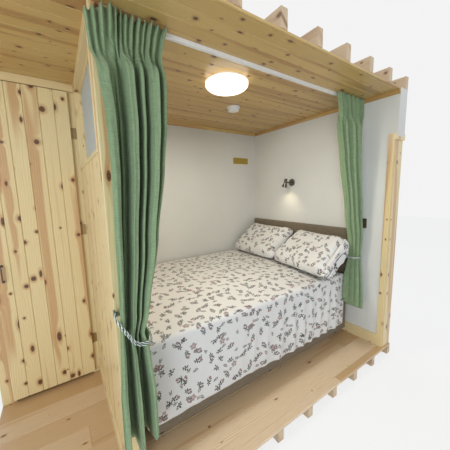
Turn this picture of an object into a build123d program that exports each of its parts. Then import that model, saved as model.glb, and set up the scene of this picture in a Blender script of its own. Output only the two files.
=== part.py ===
from build123d import *
import math
import os

# A chalet's built-in sleeping alcove: a double bed behind curtains, with a wardrobe at its foot.
# Millimetres. X runs along the bed towards the wall at its head, Y runs to the back wall, and
# Z is up from the underside of the floor joists. The origin is the middle of the plan.

# The room
alcove_length = 2016.0
room_height = 2150.0
front_reach = 1700.0
head_wall_thickness = 120.0
back_wall_thickness = 100.0

# Floor and ceiling
joist_width = 45.0
joist_spacing = 306.0
floor_joist_depth = 70.0
floor_thickness = 20.0
ceiling_thickness = 14.0
ceiling_joist_depth = 95.0

# The partition between the bed and the wardrobe
partition_depth = 1440.0
partition_thickness = 84.0
post_depth = 45.0
outer_board_thickness = 18.0
lining_board_thickness = 16.0

# The borrowed light in the partition
window_sill_height = 1600.0
window_head_height = 2100.0
window_back = 545.0
window_lining_thickness = 20.0
window_lining_lip = 5.0
glass_thickness = 4.0
bead_size = 12.0

# The wardrobe
wardrobe_width = 600.0
wardrobe_depth = 540.0
side_panel_thickness = 18.0
stile_thickness = 32.0
left_stile_reveal = 63.0
right_stile_reveal = 42.0
leaf_overlap = 13.0
leaf_thickness = 20.0
leaf_floor_gap = 25.0
moving_clearance = 5.0
ledge_width = 90.0
ledge_thickness = 20.0
ledge_side_gap = 10.0
ledge_heights = (220.0, 1080.0, 1900.0)

# Its hinges and handle
hinge_length = 75.0
hinge_plate_thickness = 2.0
hinge_plate_width = 28.0
hinge_edge_plate_width = 17.0
hinge_heights = (290.0, 1150.0, 1830.0)
knuckle_radius = 5.0
knuckle_edge_gap = 0.5
knuckle_end_gap = 0.5
pin_radius = 2.5
pin_clearance = 0.3
handle_height = 912.0
handle_length = 104.0
handle_projection = 30.0
handle_radius = 4.5
handle_edge_distance = 37.0
handle_rose_radius = 9.0
handle_rose_thickness = 3.0

# Trim
skirting_height = 98.0
skirting_thickness = 12.0
head_skirting_thickness = 15.0
skirting_round = 6.0
cornice_height = 30.0
cornice_depth = 20.0

# The end of the head wall, at the jamb of the next doorway
doorway_part = 38.0
doorway_height = 1777.0
door_lining_thickness = 28.0
casing_width = 45.0
casing_thickness = 14.0
casing_reveal = 5.0

# The bed
bed_length = 1900.0
bed_width = 1350.0
bed_wall_gap = 20.0
foot_height = 62.0
foot_radius = 22.0
foot_inset = 70.0
base_height = 290.0
mattress_height = 240.0
bed_corner_radius = 40.0
headboard_thickness = 55.0
headboard_width = 1320.0
headboard_bottom = 330.0
headboard_top = 1030.0
headboard_round = 12.0
duvet_thickness = 70.0
duvet_drop = 35.0
duvet_hem_height = 160.0
duvet_head_gap = 80.0
duvet_round = 45.0
pillow_width = 690.0
pillow_height = 480.0
pillow_half_thickness = 62.0
pillow_corner_radius = 70.0
pillow_taper = 34.0
pillow_lean = 32.0
far_pillow_middle = 424.0
near_pillow_middle = 1142.0
near_pillow_turn = 8.0
soft_gap = 0.3

# Curtains and their rail
rail_set_back = 47.0
rail_width = 18.0
rail_height = 20.0
curtain_post_gap = 5.0
curtain_wall_gap = 13.0
curtain_bed_gap = 4.0
curtain_front_overhang = 66.0
curtain_back_overhang = 46.0
curtain_flap_height = 175.0
curtain_flap_depth = 24.0

# Each curtain from its hem to just below its heading: where its sides stand at each height
left_curtain_heights = (262.0, 735.0, 970.0, 1180.0, 1700.0, 1980.0)
left_curtain_starts = (-22.0, 13.0, 15.0, 18.0, 14.0, 90.0)
left_curtain_ends = (152.0, 148.0, 172.0, 212.0, 276.0, 312.0)
left_curtain_depths = (112.0, 84.0, 84.0, 98.0, 100.0, 84.0)
left_curtain_top_width = 252.0
right_curtain_heights = (287.0, 790.0, 980.0, 1180.0, 1700.0, 2020.0)
right_curtain_widths = (190.0, 122.0, 112.0, 206.0, 306.0, 330.0)
right_curtain_depths = (112.0, 78.0, 80.0, 106.0, 116.0, 114.0)
right_curtain_backs = (24.0, 34.0, 40.0)
right_curtain_top_width = 352.0

# Tie-backs and their hooks
tieback_radius = 6.0
tieback_gap = 1.0
tieback_wall_gap = 1.5
left_tieback_low = 740.0
left_tieback_high = 945.0
left_tieback_hook = 865.0
left_tieback_hook_inset = 11.0
right_tieback_height = 795.0
hook_radius = 3.0
hook_tip = 20.0
hook_disc_radius = 8.0
hook_disc_thickness = 1.2

# Lights and fittings
light_base_radius = 118.0
light_base_height = 22.0
light_diffuser_radius = 145.0
light_rim_height = 12.0
light_dome_height = 40.0
light_flat_radius = 50.0
light_from_head_wall = 1240.0
light_from_back_wall = 1140.0
alarm_radius = 60.0
alarm_height = 36.0
alarm_base_height = 8.0
alarm_from_head_wall = 880.0
alarm_from_back_wall = 720.0
plate_width = 249.0
plate_height = 87.0
plate_thickness = 2.0
plate_from_head_wall = 247.0
plate_centre_height = 1788.0
switch_size = 86.0
switch_thickness = 8.0
rocker_width = 24.0
rocker_height = 36.0
rocker_thickness = 2.0
switch_from_back_wall = 1457.0
switch_height = 1090.0
lamp_height = 1487.0
lamp_from_back_wall = 645.0
lamp_rose_radius = 40.0
lamp_rose_thickness = 16.0
lamp_arm_radius = 6.0
lamp_arm_reach = 75.0
lamp_eye_radius = 9.0
lamp_eye_width = 12.0
lamp_ear_thickness = 4.0
lamp_ear_gap = 0.5
lamp_pin_radius = 3.0
lamp_head_length = 96.0
lamp_mouth_radius = 31.0
lamp_tail_radius = 17.0
lamp_head_offset = 38.0
lamp_lens_thickness = 3.0
lamp_turn = 14.0

# Where the main faces stand
unit_width = wardrobe_width + partition_thickness + alcove_length + head_wall_thickness + casing_thickness
left_x = -unit_width / 2
head_outer_x = unit_width / 2 - casing_thickness
head_x = head_outer_x - head_wall_thickness
lining_x = head_x - alcove_length
partition_x = lining_x - partition_thickness
front_y = -(front_reach + back_wall_thickness) / 2
back_outer_y = -front_y
back_y = back_outer_y - back_wall_thickness
floor_z = floor_joist_depth + floor_thickness
ceiling_z = floor_z + room_height
wall_top_z = ceiling_z + ceiling_thickness
post_front_y = back_y - partition_depth
post_back_y = post_front_y + post_depth
sill_z = floor_z + window_sill_height
window_top_z = floor_z + window_head_height
window_back_y = back_y - window_back
leaf_front_y = back_y - wardrobe_depth
stile_front_y = leaf_front_y + leaf_thickness + moving_clearance
stile_back_y = stile_front_y + stile_thickness
leaf_left_x = left_x + left_stile_reveal
leaf_right_x = partition_x - right_stile_reveal
leaf_bottom_z = floor_z + leaf_floor_gap
leaf_top_z = window_top_z - moving_clearance
hinge_x = leaf_right_x + knuckle_radius + knuckle_edge_gap
hinge_y = stile_front_y - knuckle_radius - pin_clearance
rail_y = post_front_y + rail_set_back
bed_head_x = head_x - headboard_thickness
bed_foot_x = bed_head_x - bed_length
bed_far_y = back_y - bed_wall_gap
bed_near_y = bed_far_y - bed_width
base_bottom_z = floor_z + foot_height
base_top_z = base_bottom_z + base_height
mattress_top_z = base_top_z + mattress_height
duvet_top_z = mattress_top_z + duvet_thickness
tied_wall_gap = tieback_wall_gap + 2 * tieback_radius + soft_gap + 2 * hook_radius + tieback_gap
lamp_pivot = Vector(head_x - lamp_arm_reach, back_y - lamp_from_back_wall, floor_z + lamp_height)

os.makedirs("parts", exist_ok=True)


def block(x0, x1, y0, y1, z0, z1):
    """A box between two corners."""
    return Pos(x0, y0, z0) * Box(x1 - x0, y1 - y0, z1 - z0, align=(Align.MIN, Align.MIN, Align.MIN))


def save(name, *solids):
    """One node: a single solid, or like pieces that don't touch."""
    shape = solids[0] if len(solids) == 1 else Compound(children=list(solids))
    export_step(shape, f"parts/{name}.step")


def spaced(start, end, width, spacing):
    """Left edges of evenly spaced bars from start to end, no further apart than the spacing."""
    bays = int((end - start - width) // spacing) + 1
    return [start + i * (end - start - width) / bays for i in range(bays + 1)]


def joists(bottom_z, depth):
    """A row of joists from front to back."""
    return [
        block(x, x + joist_width, front_y, back_outer_y, bottom_z, bottom_z + depth)
        for x in spaced(left_x, head_outer_x, joist_width, joist_spacing)
    ]


def floor_and_ceiling():
    save("floor_joists", *joists(0, floor_joist_depth))
    save("floor_boards", block(left_x, head_outer_x, front_y, back_outer_y, floor_joist_depth, floor_z))
    save("ceiling_boards", block(left_x, head_x, front_y, back_y, ceiling_z, wall_top_z))
    save("ceiling_joists", *joists(wall_top_z, ceiling_joist_depth))


def walls():
    save("back_wall", block(left_x, head_outer_x, back_y, back_outer_y, floor_z, wall_top_z))
    # The head wall steps back under the head of the next doorway
    wall_end_y = front_y + doorway_part
    over_door_z = floor_z + doorway_height + door_lining_thickness
    outline = Polyline(
        (back_y, floor_z),
        (back_y, wall_top_z),
        (front_y, wall_top_z),
        (front_y, over_door_z),
        (wall_end_y, over_door_z),
        (wall_end_y, floor_z),
        close=True,
    )
    face = Plane(origin=(head_x, 0, 0), x_dir=(0, 1, 0), z_dir=(1, 0, 0)) * make_face(outline)
    save("head_wall", extrude(face, head_wall_thickness))


def doorway_trim():
    """The lining of the next doorway's jamb and head, and a casing on each face of the wall."""
    wall_end_y = front_y + doorway_part
    jamb_front_y = wall_end_y - door_lining_thickness
    door_top_z = floor_z + doorway_height
    jamb = block(head_x, head_outer_x, jamb_front_y, wall_end_y, floor_z, door_top_z)
    head = block(head_x, head_outer_x, front_y, wall_end_y, door_top_z, door_top_z + door_lining_thickness)
    save("door_lining", jamb + head)
    casing_front_y = jamb_front_y + casing_reveal
    casing_back_y = casing_front_y + casing_width
    casing_bottom_z = door_top_z + casing_reveal
    casings = []
    for x in (head_x - casing_thickness, head_outer_x):
        leg = block(x, x + casing_thickness, casing_front_y, casing_back_y, floor_z, casing_bottom_z)
        top = block(
            x, x + casing_thickness, front_y, casing_back_y,
            casing_bottom_z, casing_bottom_z + casing_width,
        )
        casings.append(leg + top)
    save("door_casings", *casings)


def skirting_board(length, thickness):
    """A board along X with its face to -Y and a rounded top edge."""
    board = Box(length, thickness, skirting_height, align=(Align.MIN, Align.MIN, Align.MIN))
    top_front = board.edges().filter_by(Axis.X).sort_by(Axis.Z)[-2:].sort_by(Axis.Y)[0]
    return fillet(top_front, skirting_round)


def trim():
    casing_back_y = front_y + doorway_part - door_lining_thickness + casing_reveal + casing_width
    head_board = skirting_board(back_y - casing_back_y, head_skirting_thickness)
    save("head_skirting", Pos(head_x - head_skirting_thickness, back_y, floor_z) * Rot(0, 0, -90) * head_board)
    side_board = skirting_board(stile_front_y - post_front_y, skirting_thickness)
    save(
        "partition_skirting",
        Pos(partition_x - skirting_thickness, stile_front_y, floor_z) * Rot(0, 0, -90) * side_board,
    )
    # The cornice is a quarter round between wall and ceiling, drawn outwards and down
    profile = make_face([
        Polyline((0, cornice_height), (0, 0), (cornice_depth, 0)),
        ThreePointArc(
            (cornice_depth, 0),
            (cornice_depth * 0.62, cornice_height * 0.62),
            (0, cornice_height),
        ),
    ])
    along_x = Plane(origin=(lining_x, back_y, ceiling_z), x_dir=(0, -1, 0), z_dir=(1, 0, 0))
    save("back_cornice", extrude(along_x * profile, alcove_length))
    along_y = Plane(origin=(head_x, back_y - cornice_depth, ceiling_z), x_dir=(-1, 0, 0), z_dir=(0, -1, 0))
    save("head_cornice", extrude(along_y * profile, back_y - cornice_depth - front_y))


def partition():
    inner_board_x = lining_x - lining_board_thickness
    outer_board_x = partition_x + outer_board_thickness
    sill_under_z = sill_z - window_lining_thickness
    jamb_back_y = window_back_y + window_lining_thickness
    post = block(partition_x, lining_x, post_front_y, post_back_y, floor_z, ceiling_z)
    save("partition_post", fillet(post.edges().filter_by(Axis.Z).sort_by(Axis.Y)[:2], 3))
    for side, x0, x1 in (("outer", partition_x, outer_board_x), ("inner", inner_board_x, lining_x)):
        save(f"partition_{side}_boards", block(x0, x1, post_back_y, back_y, floor_z, sill_under_z))
        save(f"closet_{side}_boards", block(x0, x1, jamb_back_y, back_y, sill_under_z, ceiling_z))


def window():
    """Four lining boards with their lips proud of the partition, and fixed glass between beads."""
    sill_under_z = sill_z - window_lining_thickness
    jamb_back_y = window_back_y + window_lining_thickness
    x0 = partition_x - window_lining_lip
    x1 = lining_x + window_lining_lip
    front_lip = window_lining_lip + window_lining_thickness / 4
    save("window_sill", block(x0, x1, post_back_y, jamb_back_y, sill_under_z, sill_z))
    save("window_head", block(x0, x1, post_back_y, jamb_back_y, window_top_z, ceiling_z))
    save("window_back_jamb", block(x0, x1, window_back_y, jamb_back_y, sill_z, window_top_z))
    jamb_front = block(x0, x1, post_back_y, post_back_y + front_lip, sill_z, window_top_z)
    save("window_front_jamb", jamb_front)
    middle_x = (partition_x + lining_x) / 2
    y0 = post_back_y + front_lip
    glass_x0 = middle_x - glass_thickness / 2
    glass_x1 = middle_x + glass_thickness / 2
    save("window_glass", block(glass_x0, glass_x1, y0, window_back_y, sill_z, window_top_z))
    rings = []
    for x in (glass_x0 - bead_size, glass_x1):
        outer = block(x, x + bead_size, y0, window_back_y, sill_z, window_top_z)
        inner = block(
            x, x + bead_size, y0 + bead_size, window_back_y - bead_size,
            sill_z + bead_size, window_top_z - bead_size,
        )
        rings.append(outer - inner)
    save("window_beads", *rings)


def wardrobe_case():
    save(
        "wardrobe_side",
        block(left_x, left_x + side_panel_thickness, stile_back_y, back_y, floor_z, ceiling_z),
    )
    left_stile_width = left_stile_reveal + leaf_overlap
    right_stile_width = right_stile_reveal + leaf_overlap
    save(
        "left_stile",
        block(left_x, left_x + left_stile_width, stile_front_y, stile_back_y, floor_z, window_top_z),
    )
    save(
        "right_stile",
        block(partition_x - right_stile_width, partition_x, stile_front_y, stile_back_y, floor_z, window_top_z),
    )
    header_x1 = partition_x - window_lining_lip
    save("wardrobe_header", block(left_x, header_x1, leaf_front_y, stile_back_y, window_top_z, ceiling_z))


def wardrobe_door():
    """A ledged plank leaf, its bow handle, and the leaf's half of each hinge."""
    leaf_back_y = leaf_front_y + leaf_thickness
    leaf = block(leaf_left_x, leaf_right_x, leaf_front_y, leaf_back_y, leaf_bottom_z, leaf_top_z)
    save("wardrobe_leaf", leaf)
    ledge_x0 = leaf_left_x + leaf_overlap + ledge_side_gap
    ledge_x1 = leaf_right_x - leaf_overlap - ledge_side_gap
    ledges = [
        block(
            ledge_x0, ledge_x1, leaf_back_y, leaf_back_y + ledge_thickness,
            floor_z + z - ledge_width / 2, floor_z + z + ledge_width / 2,
        )
        for z in ledge_heights
    ]
    save("leaf_ledges", *ledges)
    x = leaf_left_x + handle_edge_distance
    z0 = floor_z + handle_height - handle_length / 2
    z1 = z0 + handle_length
    out_y = leaf_front_y - handle_projection + handle_radius
    bend = handle_radius * 3
    path = FilletPolyline(
        (x, leaf_front_y, z0), (x, out_y, z0), (x, out_y, z1), (x, leaf_front_y, z1), radius=bend
    )
    bow = sweep(Plane(path @ 0, z_dir=path % 0) * Circle(handle_radius), path)
    for z in (z0, z1):
        rose = Pos(x, leaf_front_y, z) * Rot(90, 0, 0) * Cylinder(
            handle_rose_radius, handle_rose_thickness, align=(Align.CENTER, Align.CENTER, Align.MIN)
        )
        bow += rose
    save("door_handle", bow)


def hinges():
    """Butt hinges: a plate on the stile with a pin and two knuckles, and a plate on the leaf's edge."""
    third = hinge_length / 3
    fixed, moving = [], []
    for height in hinge_heights:
        z0 = floor_z + height - hinge_length / 2
        axis = Pos(hinge_x, hinge_y, 0)
        up = (Align.CENTER, Align.CENTER, Align.MIN)
        stile_plate = block(
            hinge_x, hinge_x + hinge_plate_width,
            stile_front_y - hinge_plate_thickness, stile_front_y, z0, z0 + hinge_length,
        )
        bearing = block(
            hinge_x - knuckle_radius - pin_clearance, hinge_x + knuckle_radius,
            stile_front_y - hinge_plate_thickness, stile_front_y,
            z0 + third - knuckle_end_gap, z0 + 2 * third + knuckle_end_gap,
        )
        pin = axis * Pos(0, 0, z0) * Cylinder(pin_radius, hinge_length, align=up)
        knuckles = [
            axis * Pos(0, 0, z) * Cylinder(knuckle_radius, third - knuckle_end_gap, align=up)
            for z in (z0, z0 + 2 * third + knuckle_end_gap)
        ]
        fixed.append(stile_plate - bearing + knuckles[0] + knuckles[1] + pin)
        middle = axis * Pos(0, 0, z0 + third) * Cylinder(knuckle_radius, third, align=up)
        edge_plate = block(
            leaf_right_x, leaf_right_x + hinge_plate_thickness,
            hinge_y - hinge_edge_plate_width, hinge_y, z0 + third, z0 + 2 * third,
        )
        bore = axis * Pos(0, 0, z0) * Cylinder(pin_radius + pin_clearance, hinge_length, align=up)
        moving.append(middle + edge_plate - bore)
    save("hinge_stile_plates", *fixed)
    save("hinge_leaf_plates", *moving)


def bed():
    def slab(z0, height):
        body = block(bed_foot_x, bed_head_x, bed_near_y, bed_far_y, z0, z0 + height)
        return fillet(body.edges().filter_by(Axis.Z).sort_by(Axis.X)[:2], bed_corner_radius)

    save("bed_base", slab(base_bottom_z, base_height))
    save("mattress", slab(base_top_z, mattress_height))
    feet = [
        Pos(x, y, floor_z) * Cylinder(foot_radius, foot_height, align=(Align.CENTER, Align.CENTER, Align.MIN))
        for x in (bed_foot_x + foot_inset, (bed_foot_x + bed_head_x) / 2, bed_head_x - foot_inset)
        for y in (bed_near_y + foot_inset, bed_far_y - foot_inset)
    ]
    save("bed_feet", *feet)
    middle_y = (bed_near_y + bed_far_y) / 2
    board = block(
        bed_head_x, head_x, middle_y - headboard_width / 2, middle_y + headboard_width / 2,
        floor_z + headboard_bottom, floor_z + headboard_top,
    )
    save("headboard", fillet(board.edges().group_by(Axis.X)[0], headboard_round))


def bedding():
    """The duvet lies over the mattress and hangs down the near side and the foot."""
    duvet_head_x = bed_head_x - duvet_head_gap
    outside = block(
        bed_foot_x - duvet_drop, duvet_head_x, bed_near_y - duvet_drop, bed_far_y + bed_wall_gap / 2,
        floor_z + duvet_hem_height, duvet_top_z,
    )
    rounded = outside.edges().group_by(Axis.Z)[-1]
    outside = fillet(rounded.sort_by(Axis.X)[0], duvet_round)
    near_top = outside.edges().filter_by(Axis.X).group_by(Axis.Z)[-1].sort_by(Axis.Y)[0]
    outside = fillet(near_top, duvet_round)
    inside = block(bed_foot_x, bed_head_x, bed_near_y, back_y, 0, mattress_top_z)
    save("duvet", outside - inside)

    outline = RectangleRounded(pillow_height, pillow_width, pillow_corner_radius)
    half = extrude(outline, pillow_half_thickness, taper=pillow_taper)
    pillow = half + mirror(half, Plane.XY)
    # Each leans on the headboard with its lower side on the duvet
    lean = math.radians(pillow_lean)
    flat_half = pillow_height / 2 - pillow_half_thickness * math.tan(math.radians(pillow_taper))
    reach = pillow_height / 2 * math.cos(lean) + soft_gap
    rise = flat_half * math.sin(lean) + pillow_half_thickness * math.cos(lean) + soft_gap
    swing = pillow_width / 2 * math.sin(math.radians(near_pillow_turn))
    for name, x, y, turn in (
        ("far_pillow", bed_head_x - reach, back_y - far_pillow_middle, 0),
        ("near_pillow", bed_head_x - reach - swing, back_y - near_pillow_middle, -near_pillow_turn),
    ):
        save(name, Pos(x, y, duvet_top_z + rise) * Rot(0, 0, turn) * Rot(0, -pillow_lean, 0) * pillow)


def curtain(stations):
    """A closed form through rounded oblong sections, each given by its height and its four sides."""
    sections = [
        Pos((x0 + x1) / 2, (y0 + y1) / 2, z) * RectangleRounded(x1 - x0, y1 - y0, (y1 - y0) * 0.35)
        for z, x0, x1, y0, y1 in stations
    ]
    return loft(sections, ruled=True)


def curtains():
    rail_bottom_z = ceiling_z - rail_height
    top_z = rail_bottom_z - soft_gap
    save(
        "curtain_rail",
        block(
            lining_x + window_lining_lip, head_x - cornice_depth,
            rail_y - rail_width / 2, rail_y + rail_width / 2, rail_bottom_z, ceiling_z,
        ),
    )
    # The left one hangs from the rail, passes in front of the post and is tied back to it
    post_y = post_front_y - curtain_post_gap
    tie_y = post_front_y - tied_wall_gap
    backs = (post_y, tie_y, tie_y, post_y, post_y, post_y)
    sides = zip(left_curtain_heights, left_curtain_starts, left_curtain_ends, backs, left_curtain_depths)
    left = [(floor_z + z, partition_x + x0, partition_x + x1, y - depth, y) for z, x0, x1, y, depth in sides]
    x0 = partition_x + left_curtain_starts[-1]
    front_y = rail_y - curtain_front_overhang
    left.append((top_z, x0, x0 + left_curtain_top_width, front_y, rail_y + curtain_back_overhang))
    flap = block(
        partition_x + 2, x0 + 20, post_y - curtain_flap_depth, post_y,
        top_z - curtain_flap_height, top_z - 5,
    )
    save("left_curtain", curtain(left) + flap)
    # The right one is gathered against the head wall
    wall_x = head_x - curtain_wall_gap
    under_x = wall_x - cornice_depth
    tie_x = head_x - tied_wall_gap
    bed_y = bed_near_y - duvet_drop - curtain_bed_gap
    ends = (wall_x, tie_x, tie_x, wall_x, wall_x, under_x)
    backs = (bed_y, bed_y, bed_y, *(rail_y + y for y in right_curtain_backs))
    sides = zip(right_curtain_heights, right_curtain_widths, ends, backs, right_curtain_depths)
    right = [(floor_z + z, x1 - width, x1, y - depth, y) for z, width, x1, y, depth in sides]
    right.append((top_z, under_x - right_curtain_top_width, under_x, front_y, rail_y + curtain_back_overhang))
    save("right_curtain", curtain(right))

    # Each tie-back leaves its hook, goes round the tied part of its curtain and comes back
    clear = tieback_radius + tieback_gap
    in_hook = tieback_wall_gap + tieback_radius
    hook_x = partition_x + left_tieback_hook_inset
    hook_z = floor_z + left_tieback_hook
    low_z = floor_z + left_tieback_low
    outer_x = partition_x + left_curtain_starts[1] - clear
    inner_x = partition_x + left_curtain_ends[1] + clear
    near_y = tie_y - left_curtain_depths[1] - clear
    left_rope = rope((
        (hook_x + 2 * tieback_radius, post_front_y - in_hook, hook_z),
        (hook_x - 2 * tieback_radius, post_front_y - in_hook, hook_z),
        (outer_x, near_y, floor_z + left_tieback_high),
        (outer_x * 0.48 + inner_x * 0.52, near_y, low_z + tieback_radius * 2),
        (inner_x, near_y, low_z),
        (inner_x, tie_y + clear, low_z),
    ), (9, 9, 22, 60, 25, 25))
    save("left_tieback", left_rope)
    hook_y = bed_y - right_curtain_depths[1] / 2
    rope_z = floor_z + right_tieback_height
    near_y = bed_y - right_curtain_depths[1] - clear
    right_rope = rope((
        (head_x - in_hook, near_y, rope_z),
        (tie_x - right_curtain_widths[1] - clear, near_y, rope_z),
        (tie_x - right_curtain_widths[1] - clear, bed_y + clear, rope_z),
        (head_x - in_hook, bed_y + clear, rope_z),
    ), (22, 22, 22, 22))
    save("right_tieback", right_rope)
    under_rope = tieback_radius + soft_gap + hook_radius
    save(
        "tieback_hooks",
        hook(Plane((hook_x, post_front_y, hook_z - under_rope), x_dir=(0, 0, 1), z_dir=(0, -1, 0))),
        hook(Plane((head_x, hook_y, rope_z - under_rope), x_dir=(0, 0, 1), z_dir=(-1, 0, 0))),
    )


def rope(corners, bends):
    """A closed loop of rope, made as two halves that meet half way along straight runs."""
    points = [Vector(corner) for corner in corners]
    half = len(points) // 2
    start = (points[-1] + points[0]) / 2
    far = (points[half - 1] + points[half]) / 2
    outward = ((start, *points[:half], far), bends[:half])
    back = ((far, *points[half:], start), bends[half:])
    loop = []
    for route, radii in (outward, back):
        path = FilletPolyline(*route, radius=radii)
        loop.append(sweep(Plane(path @ 0, z_dir=path % 0) * Circle(tieback_radius), path))
    return loop[0] + loop[1]


def hook(place):
    """A cup hook: a disc on the wall and a rod out from it that turns up past the rope."""
    reach = tied_wall_gap - tieback_gap - hook_radius
    path = FilletPolyline((0, 0, 0), (0, 0, reach), (hook_tip, 0, reach), radius=hook_radius * 1.5)
    rod = sweep(Plane(path @ 0, z_dir=path % 0) * Circle(hook_radius), path)
    disc = Cylinder(hook_disc_radius, hook_disc_thickness, align=(Align.CENTER, Align.CENTER, Align.MIN))
    return place * (rod + disc + Pos(hook_tip, 0, reach) * Sphere(hook_radius))


def light_fittings():
    up = (Align.CENTER, Align.CENTER, Align.MIN)
    light = Pos(head_x - light_from_head_wall, back_y - light_from_back_wall, ceiling_z)
    base = Pos(0, 0, -light_base_height) * Cylinder(light_base_radius, light_base_height, align=up)
    save("light_base", light * base)
    rim_z = -light_base_height
    dome_z = rim_z - light_rim_height
    low_z = dome_z - light_dome_height
    profile = make_face([
        Polyline(
            (light_flat_radius, low_z), (0, low_z), (0, rim_z),
            (light_diffuser_radius, rim_z), (light_diffuser_radius, dome_z),
        ),
        EllipticalCenterArc(
            (light_flat_radius, dome_z), light_diffuser_radius - light_flat_radius, light_dome_height,
            270, arc_size=90,
        ),
    ])
    save("light_diffuser", light * revolve(Plane.XZ * profile, Axis.Z))
    alarm = Pos(head_x - alarm_from_head_wall, back_y - alarm_from_back_wall, ceiling_z)
    body = Pos(0, 0, -alarm_base_height) * Cylinder(alarm_radius, alarm_base_height, align=up)
    cone = Cone(alarm_radius * 0.8, alarm_radius * 0.93, alarm_height - alarm_base_height, align=up)
    cone = Pos(0, 0, -alarm_height) * cone
    cap = fillet((body + cone).edges().group_by(Axis.Z)[0], 5)
    save("smoke_alarm", alarm * cap)


def wall_fittings():
    save(
        "wall_plate",
        block(
            head_x - plate_from_head_wall - plate_width / 2, head_x - plate_from_head_wall + plate_width / 2,
            back_y - plate_thickness, back_y,
            floor_z + plate_centre_height - plate_height / 2, floor_z + plate_centre_height + plate_height / 2,
        ),
    )
    y = back_y - switch_from_back_wall
    z = floor_z + switch_height
    plate = block(
        head_x - switch_thickness, head_x, y - switch_size / 2, y + switch_size / 2,
        z - switch_size / 2, z + switch_size / 2,
    )
    plate = fillet(plate.edges().group_by(Axis.X)[0], 2)
    rocker = block(
        head_x - switch_thickness - rocker_thickness, head_x - switch_thickness,
        y - rocker_width / 2, y + rocker_width / 2, z - rocker_height / 2, z + rocker_height / 2,
    )
    save("switch_plate", plate + rocker)


def reading_lamp():
    """A wall rose and arm ending in an eye, and a head whose two ears turn on a pin through it."""
    towards_room = Rot(0, -90, 0)
    up = (Align.CENTER, Align.CENTER, Align.MIN)
    foot = Pos(head_x, lamp_pivot.Y, lamp_pivot.Z) * towards_room
    rose = foot * Cylinder(lamp_rose_radius, lamp_rose_thickness, align=up)
    rose = fillet(rose.edges().group_by(Axis.X)[0], lamp_rose_thickness * 0.6)
    arm = foot * Cylinder(lamp_arm_radius, lamp_arm_reach - lamp_eye_radius / 2, align=up)
    eye = Pos(lamp_pivot) * Rot(90, 0, 0) * Cylinder(lamp_eye_radius, lamp_eye_width)
    hole = Pos(lamp_pivot) * Rot(90, 0, 0) * Cylinder(lamp_pin_radius + pin_clearance, lamp_eye_width)
    save("lamp_base", rose + arm + eye - hole)

    # The head stands out past the pivot, with its mouth down and turned to the back wall
    ear_out = lamp_eye_width / 2 + lamp_ear_gap + lamp_ear_thickness
    ears = []
    for side in (-1, 1):
        middle = side * (ear_out - lamp_ear_thickness / 2)
        disc = Pos(0, middle, 0) * Rot(90, 0, 0) * Cylinder(lamp_eye_radius, lamp_ear_thickness)
        strap = Pos(0, middle, 0) * Box(
            lamp_head_offset, lamp_ear_thickness, lamp_eye_radius * 2,
            align=(Align.MAX, Align.CENTER, Align.CENTER),
        )
        ears.append(disc + strap)
    pin = Rot(90, 0, 0) * Cylinder(lamp_pin_radius, ear_out * 2)
    tail_z = lamp_head_length * 0.45
    mouth_z = tail_z - lamp_head_length
    profile = make_face([
        Polyline(
            (0, mouth_z), (0, tail_z), (lamp_tail_radius * 0.7, tail_z), (lamp_tail_radius, tail_z - 6),
            (lamp_tail_radius, tail_z - lamp_head_length * 0.45),
        ),
        Bezier(
            (lamp_tail_radius, tail_z - lamp_head_length * 0.45),
            (lamp_tail_radius, tail_z - lamp_head_length * 0.68),
            (lamp_mouth_radius, mouth_z + lamp_head_length * 0.22),
            (lamp_mouth_radius, mouth_z),
        ),
        Line((lamp_mouth_radius, mouth_z), (0, mouth_z)),
    ])
    shade = revolve(Plane.XZ * profile, Axis.Z)
    recess = Pos(0, 0, mouth_z) * Cylinder(lamp_mouth_radius - 3, lamp_lens_thickness, align=up)
    turn = Pos(-lamp_head_offset, 0, 0) * Rot(lamp_turn, 0, 0)
    head = turn * (shade - recess)
    for ear in ears:
        head += ear
    save("lamp_head", Pos(lamp_pivot) * (head + pin))
    save("lamp_lens", Pos(lamp_pivot) * turn * recess)


floor_and_ceiling()
walls()
doorway_trim()
trim()
partition()
window()
wardrobe_case()
wardrobe_door()
hinges()
bed()
bedding()
curtains()
light_fittings()
wall_fittings()
reading_lamp()
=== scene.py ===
# %% [markdown]
# # A chalet's sleeping alcove, dressed in Blender
# The object is one corner of a small timber chalet: a double bed set in an alcove behind two curtains,
# with a wardrobe and a glazed partition at its foot. The CAD model already holds every size, so it is
# loaded first as a frame, and each lesson below replaces or finishes a few of its pieces.

# %% Load the frame
import math
import random

import bmesh
import bpy
import numpy as np
from mathutils import Matrix, Vector, noise


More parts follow.
